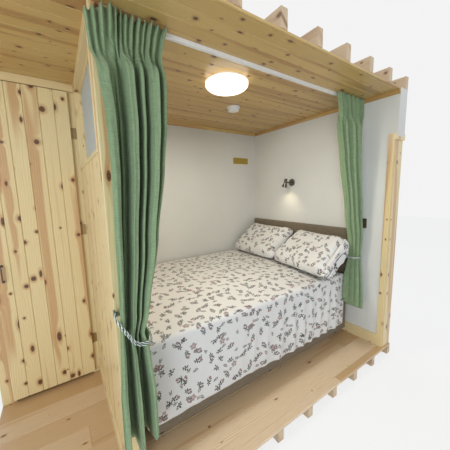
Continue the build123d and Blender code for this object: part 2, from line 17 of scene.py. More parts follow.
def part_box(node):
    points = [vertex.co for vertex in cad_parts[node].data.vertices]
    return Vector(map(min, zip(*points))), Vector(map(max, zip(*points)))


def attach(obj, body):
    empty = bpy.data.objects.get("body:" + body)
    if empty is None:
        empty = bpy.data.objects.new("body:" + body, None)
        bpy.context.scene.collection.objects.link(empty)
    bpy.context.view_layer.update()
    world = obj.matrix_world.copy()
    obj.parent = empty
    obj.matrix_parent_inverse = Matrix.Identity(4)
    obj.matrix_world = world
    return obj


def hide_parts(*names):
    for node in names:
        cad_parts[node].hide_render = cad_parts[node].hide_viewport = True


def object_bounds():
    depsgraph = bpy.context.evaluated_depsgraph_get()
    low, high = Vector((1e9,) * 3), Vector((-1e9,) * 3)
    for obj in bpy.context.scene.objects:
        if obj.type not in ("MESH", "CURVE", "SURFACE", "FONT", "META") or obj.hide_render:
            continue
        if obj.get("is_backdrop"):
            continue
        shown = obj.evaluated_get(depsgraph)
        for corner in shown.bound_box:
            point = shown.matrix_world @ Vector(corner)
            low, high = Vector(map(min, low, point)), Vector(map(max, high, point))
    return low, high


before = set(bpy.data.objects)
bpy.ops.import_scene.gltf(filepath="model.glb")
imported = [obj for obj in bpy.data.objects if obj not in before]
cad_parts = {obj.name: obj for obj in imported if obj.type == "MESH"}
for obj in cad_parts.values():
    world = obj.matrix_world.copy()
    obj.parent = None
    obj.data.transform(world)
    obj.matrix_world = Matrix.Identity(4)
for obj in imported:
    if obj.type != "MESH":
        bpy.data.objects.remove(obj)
cad_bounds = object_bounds()
chance = random.Random(7)


def rounded(values):
    """Numbers cut to the millimetre, for printing."""
    return [round(float(value), 3) for value in values]


print("frame box", [rounded(corner) for corner in cad_bounds])

# %% [markdown]
# ## The viewpoint
# The camera stands in the room in front of the wardrobe and looks into the alcove with a wide lens.
# A camera can be turned with three angles, but three directions are easier to check: where it looks,
# what is level, and what is up. They become the columns of its matrix.


# %% The camera
def put_in_scene(name, data):
    """A new object that holds the data, linked to the scene."""
    made = bpy.data.objects.new(name, data)
    bpy.context.collection.objects.link(made)
    return made


CAMERA_PLACE = (-0.9819, -1.8009, 1.4915)
turn, tilt, roll = -0.5924, -0.1348, -0.0237
camera = put_in_scene("camera", bpy.data.cameras.new("camera"))
camera.data.lens = 19.73
camera.data.sensor_width = 36
camera.data.clip_start = 0.05
forward = Vector((-math.sin(turn) * math.cos(tilt), math.cos(turn) * math.cos(tilt), math.sin(tilt)))
level = Vector((math.cos(turn), math.sin(turn), 0))
rise = level.cross(forward)
right = level * math.cos(roll) + rise * math.sin(roll)
up = rise * math.cos(roll) - level * math.sin(roll)
view = Matrix((right, up, -forward)).transposed().to_4x4()
camera.matrix_world = Matrix.Translation(CAMERA_PLACE) @ view
bpy.context.scene.camera = camera
print("camera looks along", rounded(forward))

# %% [markdown]
# ## Wiring materials
# Every finish here is painted by nodes, so nothing has to be loaded and each pattern keeps its real
# size. Adding a Math node for every sum makes long wiring, so the outputs of a node are kept as
# signals: a sum written with signals adds its own Math nodes.


# %% Signals
class Signal:
    """One output of a node, which can be added, taken away, multiplied and divided."""

    def __init__(self, socket):
        self.socket = socket
        self.tree = socket.id_data

    def __add__(self, other):
        return maths("ADD", self, other)

    def __sub__(self, other):
        return maths("SUBTRACT", self, other)

    def __mul__(self, other):
        return maths("MULTIPLY", self, other)

    def __truediv__(self, other):
        return maths("DIVIDE", self, other)

    def __rtruediv__(self, other):
        return maths("DIVIDE", other, self)


class Outputs:
    """The outputs of a node as signals, by name or by number."""

    def __init__(self, made):
        self.made = made

    def __getitem__(self, key):
        return Signal(self.made.outputs[key])


def feed(made, inputs):
    """Links signals to a node's inputs, and sets its other inputs to plain values."""
    for key, value in inputs.items():
        if isinstance(value, Signal):
            value.tree.links.new(value.socket, made.inputs[key])
        else:
            made.inputs[key].default_value = value


def node(tree, kind, inputs=None, **settings):
    """Adds a node, sets it up and feeds it."""
    made = tree.nodes.new("ShaderNode" + kind)
    for key, value in settings.items():
        setattr(made, key, value)
    feed(made, inputs or {})
    return Outputs(made)


def maths(operation, *values):
    """One Math node on the signals and numbers."""
    tree = next(value.tree for value in values if isinstance(value, Signal))
    return node(tree, "Math", dict(enumerate(values)), operation=operation)[0]


print("signals ready")

# %% [markdown]
# ## Masks, places and groups
# Most patterns here are masks: a smooth value, such as the distance to a spot, is turned into 0 or 1
# with a soft edge, and the mask blends one colour into another. A pattern that several finishes share
# is a node group, so that its wiring exists only once.


# %% Masks and places
TURN = 6.2832


def threshold(value, low, high):
    """0 below low, 1 above high, and a smooth step between."""
    inputs = {"Value": value, "From Min": low, "From Max": high}
    return node(value.tree, "MapRange", inputs, interpolation_type="SMOOTHSTEP")[0]


def blend(share, first, second):
    """The first colour going over to the second by share."""
    return node(share.tree, "Mix", {0: share, 6: first, 7: second}, data_type="RGBA")[2]


def largest(signals):
    """The largest of several signals."""
    most = signals[0]
    for signal in signals[1:]:
        most = maths("MAXIMUM", most, signal)
    return most


def distance(x, y):
    """How far a place is from the middle."""
    return maths("SQRT", x * x + y * y)


def place_at(x, y, z=0.0):
    """A place from its coordinates."""
    return node(x.tree, "CombineXYZ", {0: x, 1: y, 2: z})[0]


def split(place):
    """The coordinates of a place."""
    return node(place.tree, "SeparateXYZ", {0: place})


def speckle(place, scale=1.0, detail=2.0, dimensions="3D"):
    """Soft random patches, smaller with a larger scale."""
    inputs = {"Vector": place, "Scale": scale, "Detail": detail}
    return node(place.tree, "TexNoise", inputs, noise_dimensions=dimensions)[0]


def scatter(place, randomness):
    """One spot in each cell: the way from it, and three random numbers of its own."""
    inputs = {"Vector": place, "Scale": 1.0, "Randomness": randomness}
    spots = node(place.tree, "TexVoronoi", inputs, voronoi_dimensions="2D")
    away = node(place.tree, "VectorMath", {0: place, 1: spots["Position"]}, operation="SUBTRACT")[0]
    return away, node(place.tree, "SeparateColor", {0: spots["Color"]})


print("masks and places ready")


# %% Finishes and groups
def spaced(constants):
    """Keyword names as Blender writes them."""
    return {key.replace("_", " "): value for key, value in constants.items()}


def new_finish(name, **constants):
    """A material with a Principled shader, and the numbers that are the same all over it."""
    finish = bpy.data.materials.new(name)
    finish.use_nodes = True
    shader = finish.node_tree.nodes["Principled BSDF"]
    feed(shader, spaced(constants))
    return finish, finish.node_tree, shader


def dress(shader, colour, roughness, height, strength, depth):
    """Gives a shader its colour, its roughness and the bump of a height in 0 to 1."""
    bump = node(height.tree, "Bump", {"Height": height, "Strength": strength, "Distance": depth})
    feed(shader, {"Base Color": colour, "Roughness": roughness, "Normal": bump[0]})


def new_group(name, inputs, **outputs):
    """A node group with named inputs and their starts, and named outputs and their kinds."""
    group = bpy.data.node_groups.new(name, "ShaderNodeTree")
    for label, start in inputs.items():
        kind = "NodeSocketColor" if isinstance(start, tuple) else "NodeSocketFloat"
        socket = group.interface.new_socket(label, in_out="INPUT", socket_type=kind)
        socket.default_value = start
    for label, kind in outputs.items():
        group.interface.new_socket(label, in_out="OUTPUT", socket_type="NodeSocket" + kind)
    return group, Outputs(group.nodes.new("NodeGroupInput")), group.nodes.new("NodeGroupOutput")


print("finishes so far:", len(bpy.data.materials))

# %% [markdown]
# ## Knotty pine
# Almost everything made of wood here is clear-varnished pine: pale early wood, thin tan late-wood
# lines, dark round knots with a reddish halo, and a browner heart. A wave texture alone gives lines
# that run straight through the knots. Here a cell texture places the knots, its distance to each one
# also bends the growth rings round it, and a value stored on every board shifts and tints its pattern.

# %% Knots
# How many knot cells lie in a metre: each is about 240 by 80 mm
CELLS_ALONG, CELLS_ACROSS = 4.2, 12.5


def find_knots(given, along, across):
    """The knots and their halos as masks, how the knots bend the rings, and the rings inside a knot."""
    away, dice = scatter(place_at(along * CELLS_ALONG, across * CELLS_ACROSS), 0.85)
    away = split(away)
    there = maths("LESS_THAN", dice[0], given["Knot share"])
    radius = given["Knot size"] * (dice[1] * 1.1 + 0.35)
    stretch = maths("POWER", dice[2], 4.0) * 2.0 + 1.1
    reach = distance(away[0] / CELLS_ALONG / stretch, away[1] / CELLS_ACROSS) / radius
    knot = there * threshold(reach, 1.12, 0.88)
    halo = there * threshold(reach, 2.6, 1.0)
    bend = there * maths("EXPONENT", reach * reach * -0.16) * (radius * 2.4)
    return knot, halo, bend, threshold(maths("SINE", reach * 11.0), -0.2, 2.2)


print("a knot cell is", rounded((1 / CELLS_ALONG, 1 / CELLS_ACROSS)), "m")


# %% Pine figure, shared by all the wood
def make_pine_figure():
    """Knots, growth rings and heart, from a place along and across the grain."""
    inputs = {
        "Along": 0.0, "Across": 0.0, "Board": 0.0, "Knot share": 0.6, "Knot size": 0.008,
        "Ring width": 0.006, "Heart share": 0.3, "Board tint": 0.3,
        "Pale": (0.8, 0.6, 0.3, 1), "Late": (0.6, 0.3, 0.1, 1),
        "Heart": (0.5, 0.2, 0.07, 1), "Knot": (0.1, 0.03, 0.01, 1),
    }
    group, given, result = new_group("pine_figure", inputs, Colour="Color", Roughness="Float", Height="Float")
    along = given["Board"] * 17.3 + given["Along"]
    across = given["Board"] * 3.1 + given["Across"]
    knot, halo, bend, knot_rings = find_knots(given, along, across)
    # Growth rings, drawn across the board and drifting slowly along it
    drift = speckle(place_at(along * 0.8, across * 5.0), dimensions="2D")
    place = across + bend + drift * 0.09
    rings = threshold(maths("SINE", place * TURN / given["Ring width"]), -0.2, 1.1)
    streaks = speckle(place_at(along * 9.0, across * 330.0), detail=3.0, dimensions="2D")
    band = speckle(place_at(along * 0.5, (across + bend) * 13.0), detail=1.0, dimensions="2D")
    heart = threshold(band - (given["Heart share"] * -0.3 + 0.72), -0.06, 0.06)
    # Colour, from the broad to the fine
    tint = node(group, "TexWhiteNoise", {"W": given["Board"]}, noise_dimensions="1D")[0]
    wood = blend(tint * given["Board tint"], given["Pale"], given["Late"])
    wood = blend(heart * 0.72, wood, given["Heart"])
    wood = blend(rings * 0.42, wood, given["Late"])
    wood = blend(threshold(streaks, 0.35, 0.85) * 0.35, wood, given["Late"])
    wood = blend(halo * 0.6, wood, given["Heart"])
    wood = blend(knot * 0.96, wood, blend(knot_rings, given["Knot"], given["Heart"]))
    height = rings * -0.35 + streaks * 0.5 - knot * 0.3
    feed(result, {"Colour": wood, "Roughness": streaks * 0.22 + 0.24, "Height": height})
    return group


pine_figure = make_pine_figure()
print("pine figure has", len(pine_figure.nodes), "nodes")


# %% Pine finishes
def pine(name, run, pale, late, heart, knot, seed=0.0, coat=0.25, **figure):
    """Varnished pine whose grain runs along axis 0, 1 or 2."""
    finish, tree, shader = new_finish(name, Coat_Weight=coat, Coat_Roughness=0.28, Specular_IOR_Level=0.4)
    place = split(node(tree, "TexCoord")["Object"])
    first, second = (place[axis] for axis in range(3) if axis != run)
    board = node(tree, "Attribute", attribute_name="board")["Fac"]
    inputs = {
        "Along": place[run], "Across": first + second, "Board": board + seed,
        "Pale": (*pale, 1), "Late": (*late, 1), "Heart": (*heart, 1), "Knot": (*knot, 1),
    }
    wood = node(tree, "Group", {**inputs, **spaced(figure)}, node_tree=pine_figure)
    dress(shader, wood["Colour"], wood["Roughness"], wood["Height"], 0.35, 0.0006)
    return finish


CLEAR = dict(pale=(0.75, 0.62, 0.345), late=(0.66, 0.45, 0.20), heart=(0.46, 0.215, 0.085), knot=(0.045, 0.018, 0.010))
ORANGE = dict(pale=(0.64, 0.45, 0.17), late=(0.44, 0.26, 0.075), heart=(0.36, 0.17, 0.055), knot=(0.05, 0.02, 0.01))
HONEY = dict(pale=(0.78, 0.61, 0.42), late=(0.49, 0.28, 0.10), heart=(0.52, 0.29, 0.13), knot=(0.10, 0.04, 0.02))
SAWN = dict(pale=(0.66, 0.50, 0.33), late=(0.52, 0.36, 0.21), heart=(0.45, 0.28, 0.16), knot=(0.16, 0.08, 0.04))

upright_pine = pine("upright_pine", 2, Knot_share=0.6, Knot_size=0.0105, Ring_width=0.012,
                    Heart_share=0.32, Board_tint=0.15, **CLEAR)
cross_pine = pine("cross_pine", 0, seed=0.31, Knot_share=0.3, Ring_width=0.008, **CLEAR)
lining_pine = pine("lining_pine", 1, seed=0.57, Knot_share=0.3, Ring_width=0.007, **CLEAR)
ceiling_pine = pine("ceiling_pine", 0, Knot_share=0.95, Knot_size=0.007, Ring_width=0.009,
                    Heart_share=0.4, Board_tint=0.55, coat=0.35, **ORANGE)
CORNICE = dict(Knot_share=0.2, Ring_width=0.005, Heart_share=0.8, **ORANGE)
cornice_pine = pine("cornice_pine", 0, seed=0.2, **CORNICE)
cornice_pine_deep = pine("cornice_pine_deep", 1, seed=0.4, **CORNICE)
floor_pine = pine("floor_pine", 0, Knot_share=0.25, Knot_size=0.005, Ring_width=0.009,
                  Heart_share=0.2, Board_tint=1.0, coat=0.45, **HONEY)
sawn_pine = pine("sawn_pine", 1, seed=0.7, coat=0.0, Knot_share=0.5, Ring_width=0.006, **SAWN)
print("pine finishes", [m.name for m in bpy.data.materials if "pine" in m.name])

# %% [markdown]
# ## Turning a bmesh into a piece
# Each new piece replaces one or more CAD nodes, rides on the same body as they do, and gets its
# finish. Doing these things in one place means that none of them is forgotten.


# %% Finish a piece
def coat_with(paint, mesh):
    """Gives a mesh one finish. Clearing a new mesh would only reset its faces' finish numbers."""
    if len(mesh.materials):
        mesh.materials.clear()
    mesh.materials.append(paint)


def object_of(name, form):
    """Makes an object from a bmesh, which is used up."""
    mesh = bpy.data.meshes.new(name)
    form.to_mesh(mesh)
    form.free()
    return put_in_scene(name, mesh)


def hand_over(piece, stands_for, paint, body="root", smooth=False):
    """Paints a piece and hands it to the frame."""
    coat_with(paint, piece.data)
    if smooth:
        piece.data.shade_smooth()
    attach(piece, body)
    if stands_for:
        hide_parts(*stands_for)
    return piece


def piece_of(name, form, stands_for, paint, body="root", smooth=False):
    """Makes a bmesh a piece of the frame."""
    return hand_over(object_of(name, form), stands_for, paint, body, smooth)


def paint_node(paint, *names):
    """Gives CAD nodes that keep their own mesh a finish."""
    for name in names:
        coat_with(paint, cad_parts[name].data)


print("CAD nodes in the frame:", len(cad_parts))

# %% [markdown]
# ## Boards
# The CAD model keeps each run of boards as one slab, but the real floor, ceiling and partition are
# tongued boards with a small V at every joint. A dark line painted on the slab would not catch the
# light, so each board is its own bevelled cube. All boards of a run share one mesh, and a number kept
# on their faces tells the pine which board it is on.


# %% One board
NARROWEST = 0.004


def add_board(form, low, high, ease, run=None, segments=1):
    """One board between two corners; only edges along run are eased, or all of them."""
    tone = form.faces.layers.float.get("board") or form.faces.layers.float.new("board")
    low, high = Vector(low), Vector(high)
    size = high - low
    cube = bmesh.ops.create_cube(form, size=1)["verts"]
    bmesh.ops.scale(form, vec=size, verts=cube)
    bmesh.ops.translate(form, vec=(low + high) / 2, verts=cube)
    edges = list({edge for vert in cube for edge in vert.link_edges})
    if run is not None:
        edges = [edge for edge in edges if abs((edge.verts[0].co - edge.verts[1].co)[run]) > size[run] / 2]
    bmesh.ops.bevel(form, geom=edges, offset=ease, segments=segments, profile=0.5, affect="EDGES", material=-1)
    number = chance.uniform(0.05, 1)
    for face in form.faces:
        if face[tone] == 0:
            face[tone] = number


print("no board is narrower than", NARROWEST, "m")


# %% Boards side by side
def lay_boards(form, low, high, run, across, pitch, joint, ease, gap=0.0008, cuts=()):
    """Boards along run, side by side along across, with their joints a pitch apart from joint.
    With cuts, each board in turn is also cut across at the next of them."""
    row = 0
    start = joint + math.floor((low[across] - joint) / pitch) * pitch
    while start < high[across] - NARROWEST:
        board_low, board_high = list(low), list(high)
        board_low[across] = max(low[across], start + gap / 2)
        board_high[across] = min(high[across], start + pitch - gap / 2)
        if board_high[across] - board_low[across] > 3 * ease:
            if cuts:
                cut = cuts[row % len(cuts)]
                first_high, second_low = list(board_high), list(board_low)
                first_high[run], second_low[run] = cut - gap / 2, cut + gap / 2
                add_board(form, board_low, first_high, ease)
                add_board(form, second_low, board_high, ease)
            else:
                add_board(form, board_low, board_high, ease, run)
            row += 1
        start += pitch


def planks(name, stands_for, paint, ease, boxes=None, body="root"):
    """Square-cut timber with eased edges in place of the CAD boxes."""
    form = bmesh.new()
    for low, high in boxes or [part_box(node_name) for node_name in stands_for]:
        add_board(form, low, high, ease, segments=2)
    piece_of(name, form, stands_for, paint, body)


print("boards can be laid")

# %% The floor boards
form = bmesh.new()
lay_boards(form, *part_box("floor_boards"), 0, 1, 0.160, -0.21, 0.0018, 0.0004, cuts=(0.62, -0.55, 1.02, 0.18, -0.95))
boards = piece_of("floor", form, ["floor_boards"], floor_pine)
print("floor boards:", len(boards.data.polygons), "faces")

# %% The ceiling boards
form = bmesh.new()
lay_boards(form, *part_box("ceiling_boards"), 0, 1, 0.084, 0.04, 0.003)
boards = piece_of("ceiling", form, ["ceiling_boards"], ceiling_pine)
print("ceiling boards:", len(boards.data.polygons), "faces")

# %% [markdown]
# ## The partition and its window
# Upright matchboards line both faces of the partition. Behind the window they run up to the ceiling,
# and under it they stop at the sill. Laying both parts from the same first joint keeps the lines in step.

# %% Matchboards on both faces
MATCHBOARD = 0.084
for side in ("outer", "inner"):
    low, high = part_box(f"partition_{side}_boards")
    back_low, back_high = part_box(f"closet_{side}_boards")
    form = bmesh.new()
    under_high = (high[0], back_low[1] - 0.0004, high[2])
    behind_low = (back_low[0], back_low[1], low[2])
    lay_boards(form, low, under_high, 2, 1, MATCHBOARD, low[1], 0.0025)
    lay_boards(form, behind_low, back_high, 2, 1, MATCHBOARD, low[1], 0.0025)
    covered = [f"partition_{side}_boards", f"closet_{side}_boards"]
    piece_of(f"{side}_matchboard", form, covered, upright_pine)
planks("post", ["partition_post"], upright_pine, 0.003)
planks("window_sill_board", ["window_sill"], lining_pine, 0.002)
planks("window_head_board", ["window_head"], lining_pine, 0.002)
planks("window_jambs", ["window_back_jamb", "window_front_jamb"], upright_pine, 0.0015)
print("window opening", [rounded(corner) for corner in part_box("window_glass")])

# %% The wardrobe's fixed timber
planks("wardrobe_panel", ["wardrobe_side"], upright_pine, 0.001)
planks("hanging_stile", ["right_stile"], upright_pine, 0.002)
planks("closing_stile", ["left_stile"], upright_pine, 0.002)
planks("header_board", ["wardrobe_header"], cross_pine, 0.002)
paint_node(lining_pine, "partition_skirting", "head_skirting", "window_beads")
paint_node(upright_pine, "door_casings", "door_lining")
paint_node(cornice_pine, "back_cornice")
paint_node(cornice_pine_deep, "head_cornice")
print("wardrobe frame placed")

# %% [markdown]
# ## The wardrobe door
# The door is a ledged one: upright matchboards held together by three cross boards behind. It rides on
# the wardrobe_door body, so it swings with the CAD hinge when a pose is set.

# %% Leaf and ledges
LEDGE, FLOOR_TOP = 0.09, 0.09
LEDGE_HEIGHTS = [FLOOR_TOP + height for height in (0.22, 1.08, 1.90)]
low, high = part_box("wardrobe_leaf")
form = bmesh.new()
lay_boards(form, low, high, 2, 0, (high[0] - low[0]) / 6, low[0], 0.003)
piece_of("leaf_matchboard", form, ["wardrobe_leaf"], upright_pine, "wardrobe_door")
low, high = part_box("leaf_ledges")
boxes = [((*low[:2], middle - LEDGE / 2), (*high[:2], middle + LEDGE / 2)) for middle in LEDGE_HEIGHTS]
planks("leaf_ledge_boards", ["leaf_ledges"], cross_pine, 0.006, boxes, "wardrobe_door")
print("door leaf", rounded(high[i] - low[i] for i in range(3)))

# %% [markdown]
# ## Painted walls
# The head wall and the back wall are smooth board painted cream. Roller paint is never quite flat: it
# has a fine orange-peel stipple and very slight clouds of tone. Both are noise, one small and raised,
# one wide and only tinting. The back of the alcove is an outside wall, so its outer face is boarded.


# %% Paint finish
def make_wall_paint():
    finish, tree, shader = new_finish("cream_paint", Specular_IOR_Level=0.3)
    place = node(tree, "TexCoord")["Object"]
    clouds = threshold(speckle(place, 1.6, 3.0), 0.3, 0.75)
    stipple = speckle(place, 420.0)
    colour = blend(clouds, (0.71, 0.70, 0.655, 1), (0.66, 0.65, 0.605, 1))
    dress(shader, colour, stipple * 0.2 + 0.5, stipple, 0.25, 0.0005)
    return finish


cream_paint = make_wall_paint()
paint_node(cream_paint, "head_wall")
END_BOARD, OUTSIDE_BOARD = 0.012, 0.018
low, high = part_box("back_wall")
inside = low[0] + END_BOARD
form = bmesh.new()
add_board(form, (inside, low[1], low[2]), (high[0], high[1] - OUTSIDE_BOARD, high[2]), 0.0005)
piece_of("alcove_wall", form, ["back_wall"], cream_paint)
form = bmesh.new()
lay_boards(form, (inside, high[1] - OUTSIDE_BOARD, low[2]), high, 2, 0, 0.120, inside, 0.004)
add_board(form, low, (inside, high[1], high[2]), 0.003, run=2)
piece_of("outside_boards", form, ["back_wall"], upright_pine)
paint_node(sawn_pine, "floor_joists", "ceiling_joists")
print("walls painted")

# %% [markdown]
# ## Metal, plastic and glass
# Small fittings tell the eye how big the room is. Metal and moulded plastic get a faint mottle in
# their gloss and a fine skin, and the glass in the partition is obscured: rough enough to show only a
# soft grey light from the other side.


# %% Mottle, shared by the fittings
def make_mottle():
    starts = {"Scale": 60.0, "Low": 0.3, "High": 0.5}
    group, given, result = new_group("mottle", starts, Roughness="Float", Height="Float")
    place = node(group, "TexCoord")["Object"]
    broad = speckle(place, given["Scale"], 4.0)
    fine = speckle(place, given["Scale"] * 22.0)
    limits = {"From Min": 0.3, "From Max": 0.7, "To Min": given["Low"], "To Max": given["High"]}
    spread = node(group, "MapRange", {"Value": broad, **limits})[0]
    feed(result, {"Roughness": spread, "Height": fine})
    return group


mottle = make_mottle()
print("mottle group has", len(mottle.nodes), "nodes")


# %% Fitting finishes
def moulded(name, colour, low, high, strength=0.12, **constants):
    """Plastic or metal in one colour, with a mottled gloss and a faint skin."""
    finish, tree, shader = new_finish(name, **constants)
    skin = node(tree, "Group", {"Low": low, "High": high}, node_tree=mottle)
    dress(shader, (*colour, 1), skin["Roughness"], skin["Height"], strength, 0.0003)
    return finish


dark_nickel = moulded("dark_nickel", (0.16, 0.145, 0.13), 0.16, 0.34, 0.05, Metallic=1.0)
white_coat = moulded("white_coat", (0.80, 0.80, 0.78), 0.28, 0.42)
white_plastic = moulded("white_plastic", (0.82, 0.82, 0.80), 0.25, 0.38)
black_plastic = moulded("black_plastic", (0.028, 0.028, 0.03), 0.35, 0.5)
brown_plastic = moulded("brown_plastic", (0.075, 0.055, 0.035), 0.2, 0.32)
yellow_plate = moulded("yellow_plate", (0.38, 0.26, 0.035), 0.3, 0.5)
pale_rim = moulded("pale_rim", (0.74, 0.67, 0.46), 0.35, 0.5)
aged_brass = moulded("aged_brass", (0.36, 0.26, 0.13), 0.3, 0.45, 0.05, Metallic=1.0)
paint_node(dark_nickel, "door_handle", "lamp_base", "lamp_head", "tieback_hooks")
paint_node(aged_brass, "hinge_leaf_plates", "hinge_stile_plates")
paint_node(white_coat, "curtain_rail")
paint_node(white_plastic, "light_base", "smoke_alarm")
paint_node(black_plastic, "bed_feet")
paint_node(brown_plastic, "switch_plate")
print("fittings:", len(bpy.data.materials), "finishes so far")


# %% The window's glass
def make_glass():
    tint = (0.72, 0.79, 0.82, 1)
    finish, tree, shader = new_finish("obscured_glass", Base_Color=tint, Transmission_Weight=0.6, IOR=1.45)
    streak = speckle(node(tree, "TexCoord")["Object"], 9.0, 3.0)
    feed(shader, {"Roughness": streak * 0.10 + 0.38})
    return finish


paint_node(make_glass(), "window_glass")
print("window glazed")

# %% The wall plate, with a pale rim round its face
form = bmesh.new()
add_board(form, *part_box("wall_plate"), 0.0005)
front = max((face for face in form.faces if face.normal.y < -0.9), key=lambda face: face.calc_area())
bmesh.ops.inset_region(form, faces=[front], thickness=0.008, depth=-0.0006)
front.material_index = 1
plate = piece_of("rimmed_plate", form, ["wall_plate"], pale_rim)
plate.data.materials.append(yellow_plate)
print("wall plate", rounded(plate.dimensions))


# %% Lit diffusers
def lit(name, colour, glow, strength):
    """Opal plastic with a lamp behind it: even light, a little dimmer where the skin is thicker."""
    finish, tree, shader = new_finish(name, Emission_Strength=strength)
    cloud = speckle(node(tree, "TexCoord")["Object"], 22.0)
    glowing = blend(threshold(cloud, 0.3, 0.7), (*glow, 1), (*[part * 0.93 for part in glow], 1))
    dress(shader, (*colour, 1), 0.35, cloud, 0.05, 0.0005)
    feed(shader, {"Emission Color": glowing})
    return finish


paint_node(lit("opal_diffuser", (0.9, 0.9, 0.87), (1.0, 0.97, 0.92), 1.6), "light_diffuser")
paint_node(lit("lamp_lens_glow", (0.9, 0.85, 0.7), (1.0, 0.86, 0.62), 2.2), "lamp_lens")
print("diffusers lit")

# %% [markdown]
# ## Cloth finishes
# Three woven cloths are seen here: slubby sage curtains, taupe upholstery on the bed, and printed
# cotton. One weave group serves them all. It needs coordinates in metres along the two threads, which
# come from each sheet's own UV map, so the weave bends with the folds.


# %% Weave, shared by all the cloth
def make_weave():
    starts = {"Warp": 0.0, "Weft": 0.0, "Thread": 0.001, "Slub": 0.4}
    group, given, result = new_group("weave", starts, Shade="Float", Height="Float")
    turns = TURN / given["Thread"]
    over, under = (maths("SINE", given[way] * turns) for way in ("Warp", "Weft"))
    plain = over * under * 0.5 + 0.5
    # Slubs are long streaks along either thread
    threads = []
    for long_way, short_way, layer in (("Warp", "Weft", 3.0), ("Weft", "Warp", 9.0)):
        narrow = given[short_way] * 0.55 / given["Thread"]
        threads.append(speckle(place_at(given[long_way] * 18.0, narrow, layer)))
    slub = threshold(threads[0] * 0.5 + threads[1] * 0.5, 0.36, 0.64)
    shade = slub * given["Slub"] + plain * 0.25
    feed(result, {"Shade": shade, "Height": slub * 0.5 + plain * 0.5})
    return group


weave = make_weave()
print("weave group has", len(weave.nodes), "nodes")


# %% Woven cloths
def threads_of(tree, source, thread, slub):
    """The weave on a UV map, or on two object axes for a box-like piece."""
    place = split(node(tree, "TexCoord")[source])
    warp, weft = (place[0], place[1]) if source == "UV" else (place[0] + place[1], place[2])
    inputs = {"Warp": warp, "Weft": weft, "Thread": thread, "Slub": slub}
    return node(tree, "Group", inputs, node_tree=weave)


def cloth(name, light, dark, source, thread, slub, strength=0.5, **constants):
    """A woven cloth between two tones."""
    finish, tree, shader = new_finish(name, Specular_IOR_Level=0.2, **constants)
    woven = threads_of(tree, source, thread, slub)
    colour = blend(woven["Shade"], (*light, 1), (*dark, 1))
    dress(shader, colour, woven["Height"] * -0.15 + 0.95, woven["Height"], strength, 0.0008)
    return finish


sage_cloth = cloth("sage_cloth", (0.29, 0.39, 0.22), (0.178, 0.25, 0.13), "UV", 0.0016, 0.75, Sheen_Weight=0.12)
taupe_cloth = cloth("taupe_cloth", (0.22, 0.175, 0.12), (0.14, 0.11, 0.075), "Object", 0.0022, 0.7, Sheen_Weight=0.1)
sheet_cotton = cloth("sheet_cotton", (0.73, 0.72, 0.70), (0.67, 0.66, 0.64), "Object", 0.0007, 0.3, 0.2)
paint_node(sheet_cotton, "mattress")
paint_node(taupe_cloth, "bed_base", "headboard")
print("bed painted")

# %% [markdown]
# ## The printed bedding
# The duvet and pillowcases are white cotton with small scattered sprigs: dark leaves on a thin stem
# with a rust or plum flower, and now and then a larger dusty bloom. A cell texture gives each sprig its
# own place, turn and kind. Inside its cell a few ellipses and one petalled ring are enough to draw it.

# %% Leaves and petals
# Each leaf has a middle, half its length and width, and a lean; the last row is the stem
LEAVES = (
    ((-0.0070, -0.0010), (0.0062, 0.0035), 2.45), ((0.0068, -0.0060), (0.0058, 0.0033), 0.55),
    ((-0.0060, -0.0130), (0.0056, 0.0033), -2.55), ((0.0055, -0.0175), (0.0050, 0.0030), -0.45),
    ((0.0085, 0.0060), (0.0050, 0.0030), 0.95), ((-0.0010, -0.0240), (0.0042, 0.0026), -1.45),
    ((0.0000, -0.0080), (0.0007, 0.0180), 0.07),
)
# Each flower has its middle, its size and its number of petals
FLOWERS = ((0.0010, 0.0150, 0.0072, 5.0), (-0.0110, 0.0075, 0.0040, 4.0))
FLOWERING = 0.62


def ellipse(x, y, middle, size, lean):
    """1 inside an ellipse, 0 outside."""
    dx, dy = x - middle[0], y - middle[1]
    cos, sin = math.cos(lean), math.sin(lean)
    u = dx * (cos / size[0]) + dy * (sin / size[0])
    v = dx * (-sin / size[1]) + dy * (cos / size[1])
    return threshold(u * u + v * v, 1.6, 1.05)


def petals(x, y, middle_x, middle_y, size, count):
    """A circle whose edge goes in and out with the angle, and which is paler at its heart."""
    dx, dy = x - middle_x, y - middle_y
    edge = maths("SINE", maths("ARCTAN2", dy, dx) * count) * (size * 0.2) + size
    far = distance(dx, dy)
    heart = threshold(far, size * 0.2, size * 0.45)
    return threshold(far - edge, 0.0007, -0.0007) * (heart * 0.45 + 0.55)


print("a sprig has", len(LEAVES) - 1, "leaves and up to", len(FLOWERS), "flowers")


# %% Sprigs, scattered on a UV map
def make_sprigs():
    starts = {"Across": 0.0, "Down": 0.0, "Spacing": 0.04, "Scale": 1.0, "Share": 1.0, "Seed": 0.0}
    group, given, result = new_group("sprigs", starts, Leaves="Float", Flower="Float", Dice="Float")
    spacing = given["Spacing"]
    away, dice = scatter(place_at((given["Across"] + given["Seed"]) / spacing, given["Down"] / spacing), 0.7)
    away = node(group, "VectorMath", {0: away, "Scale": spacing / given["Scale"]}, operation="SCALE")[0]
    turned = node(group, "VectorRotate", {"Vector": away, "Angle": dice[0] * TURN}, rotation_type="Z_AXIS")
    place = split(turned[0])
    leaves = largest([ellipse(place[0], place[1], *leaf) for leaf in LEAVES])
    flower = largest([petals(place[0], place[1], *ring) for ring in FLOWERS])
    there = maths("LESS_THAN", dice[1], given["Share"])
    flowering = maths("LESS_THAN", dice[2], FLOWERING)
    feed(result, {"Leaves": leaves * there, "Flower": flower * there * flowering, "Dice": dice[2]})
    return group


sprigs = make_sprigs()
print("sprig group has", len(sprigs.nodes), "nodes")


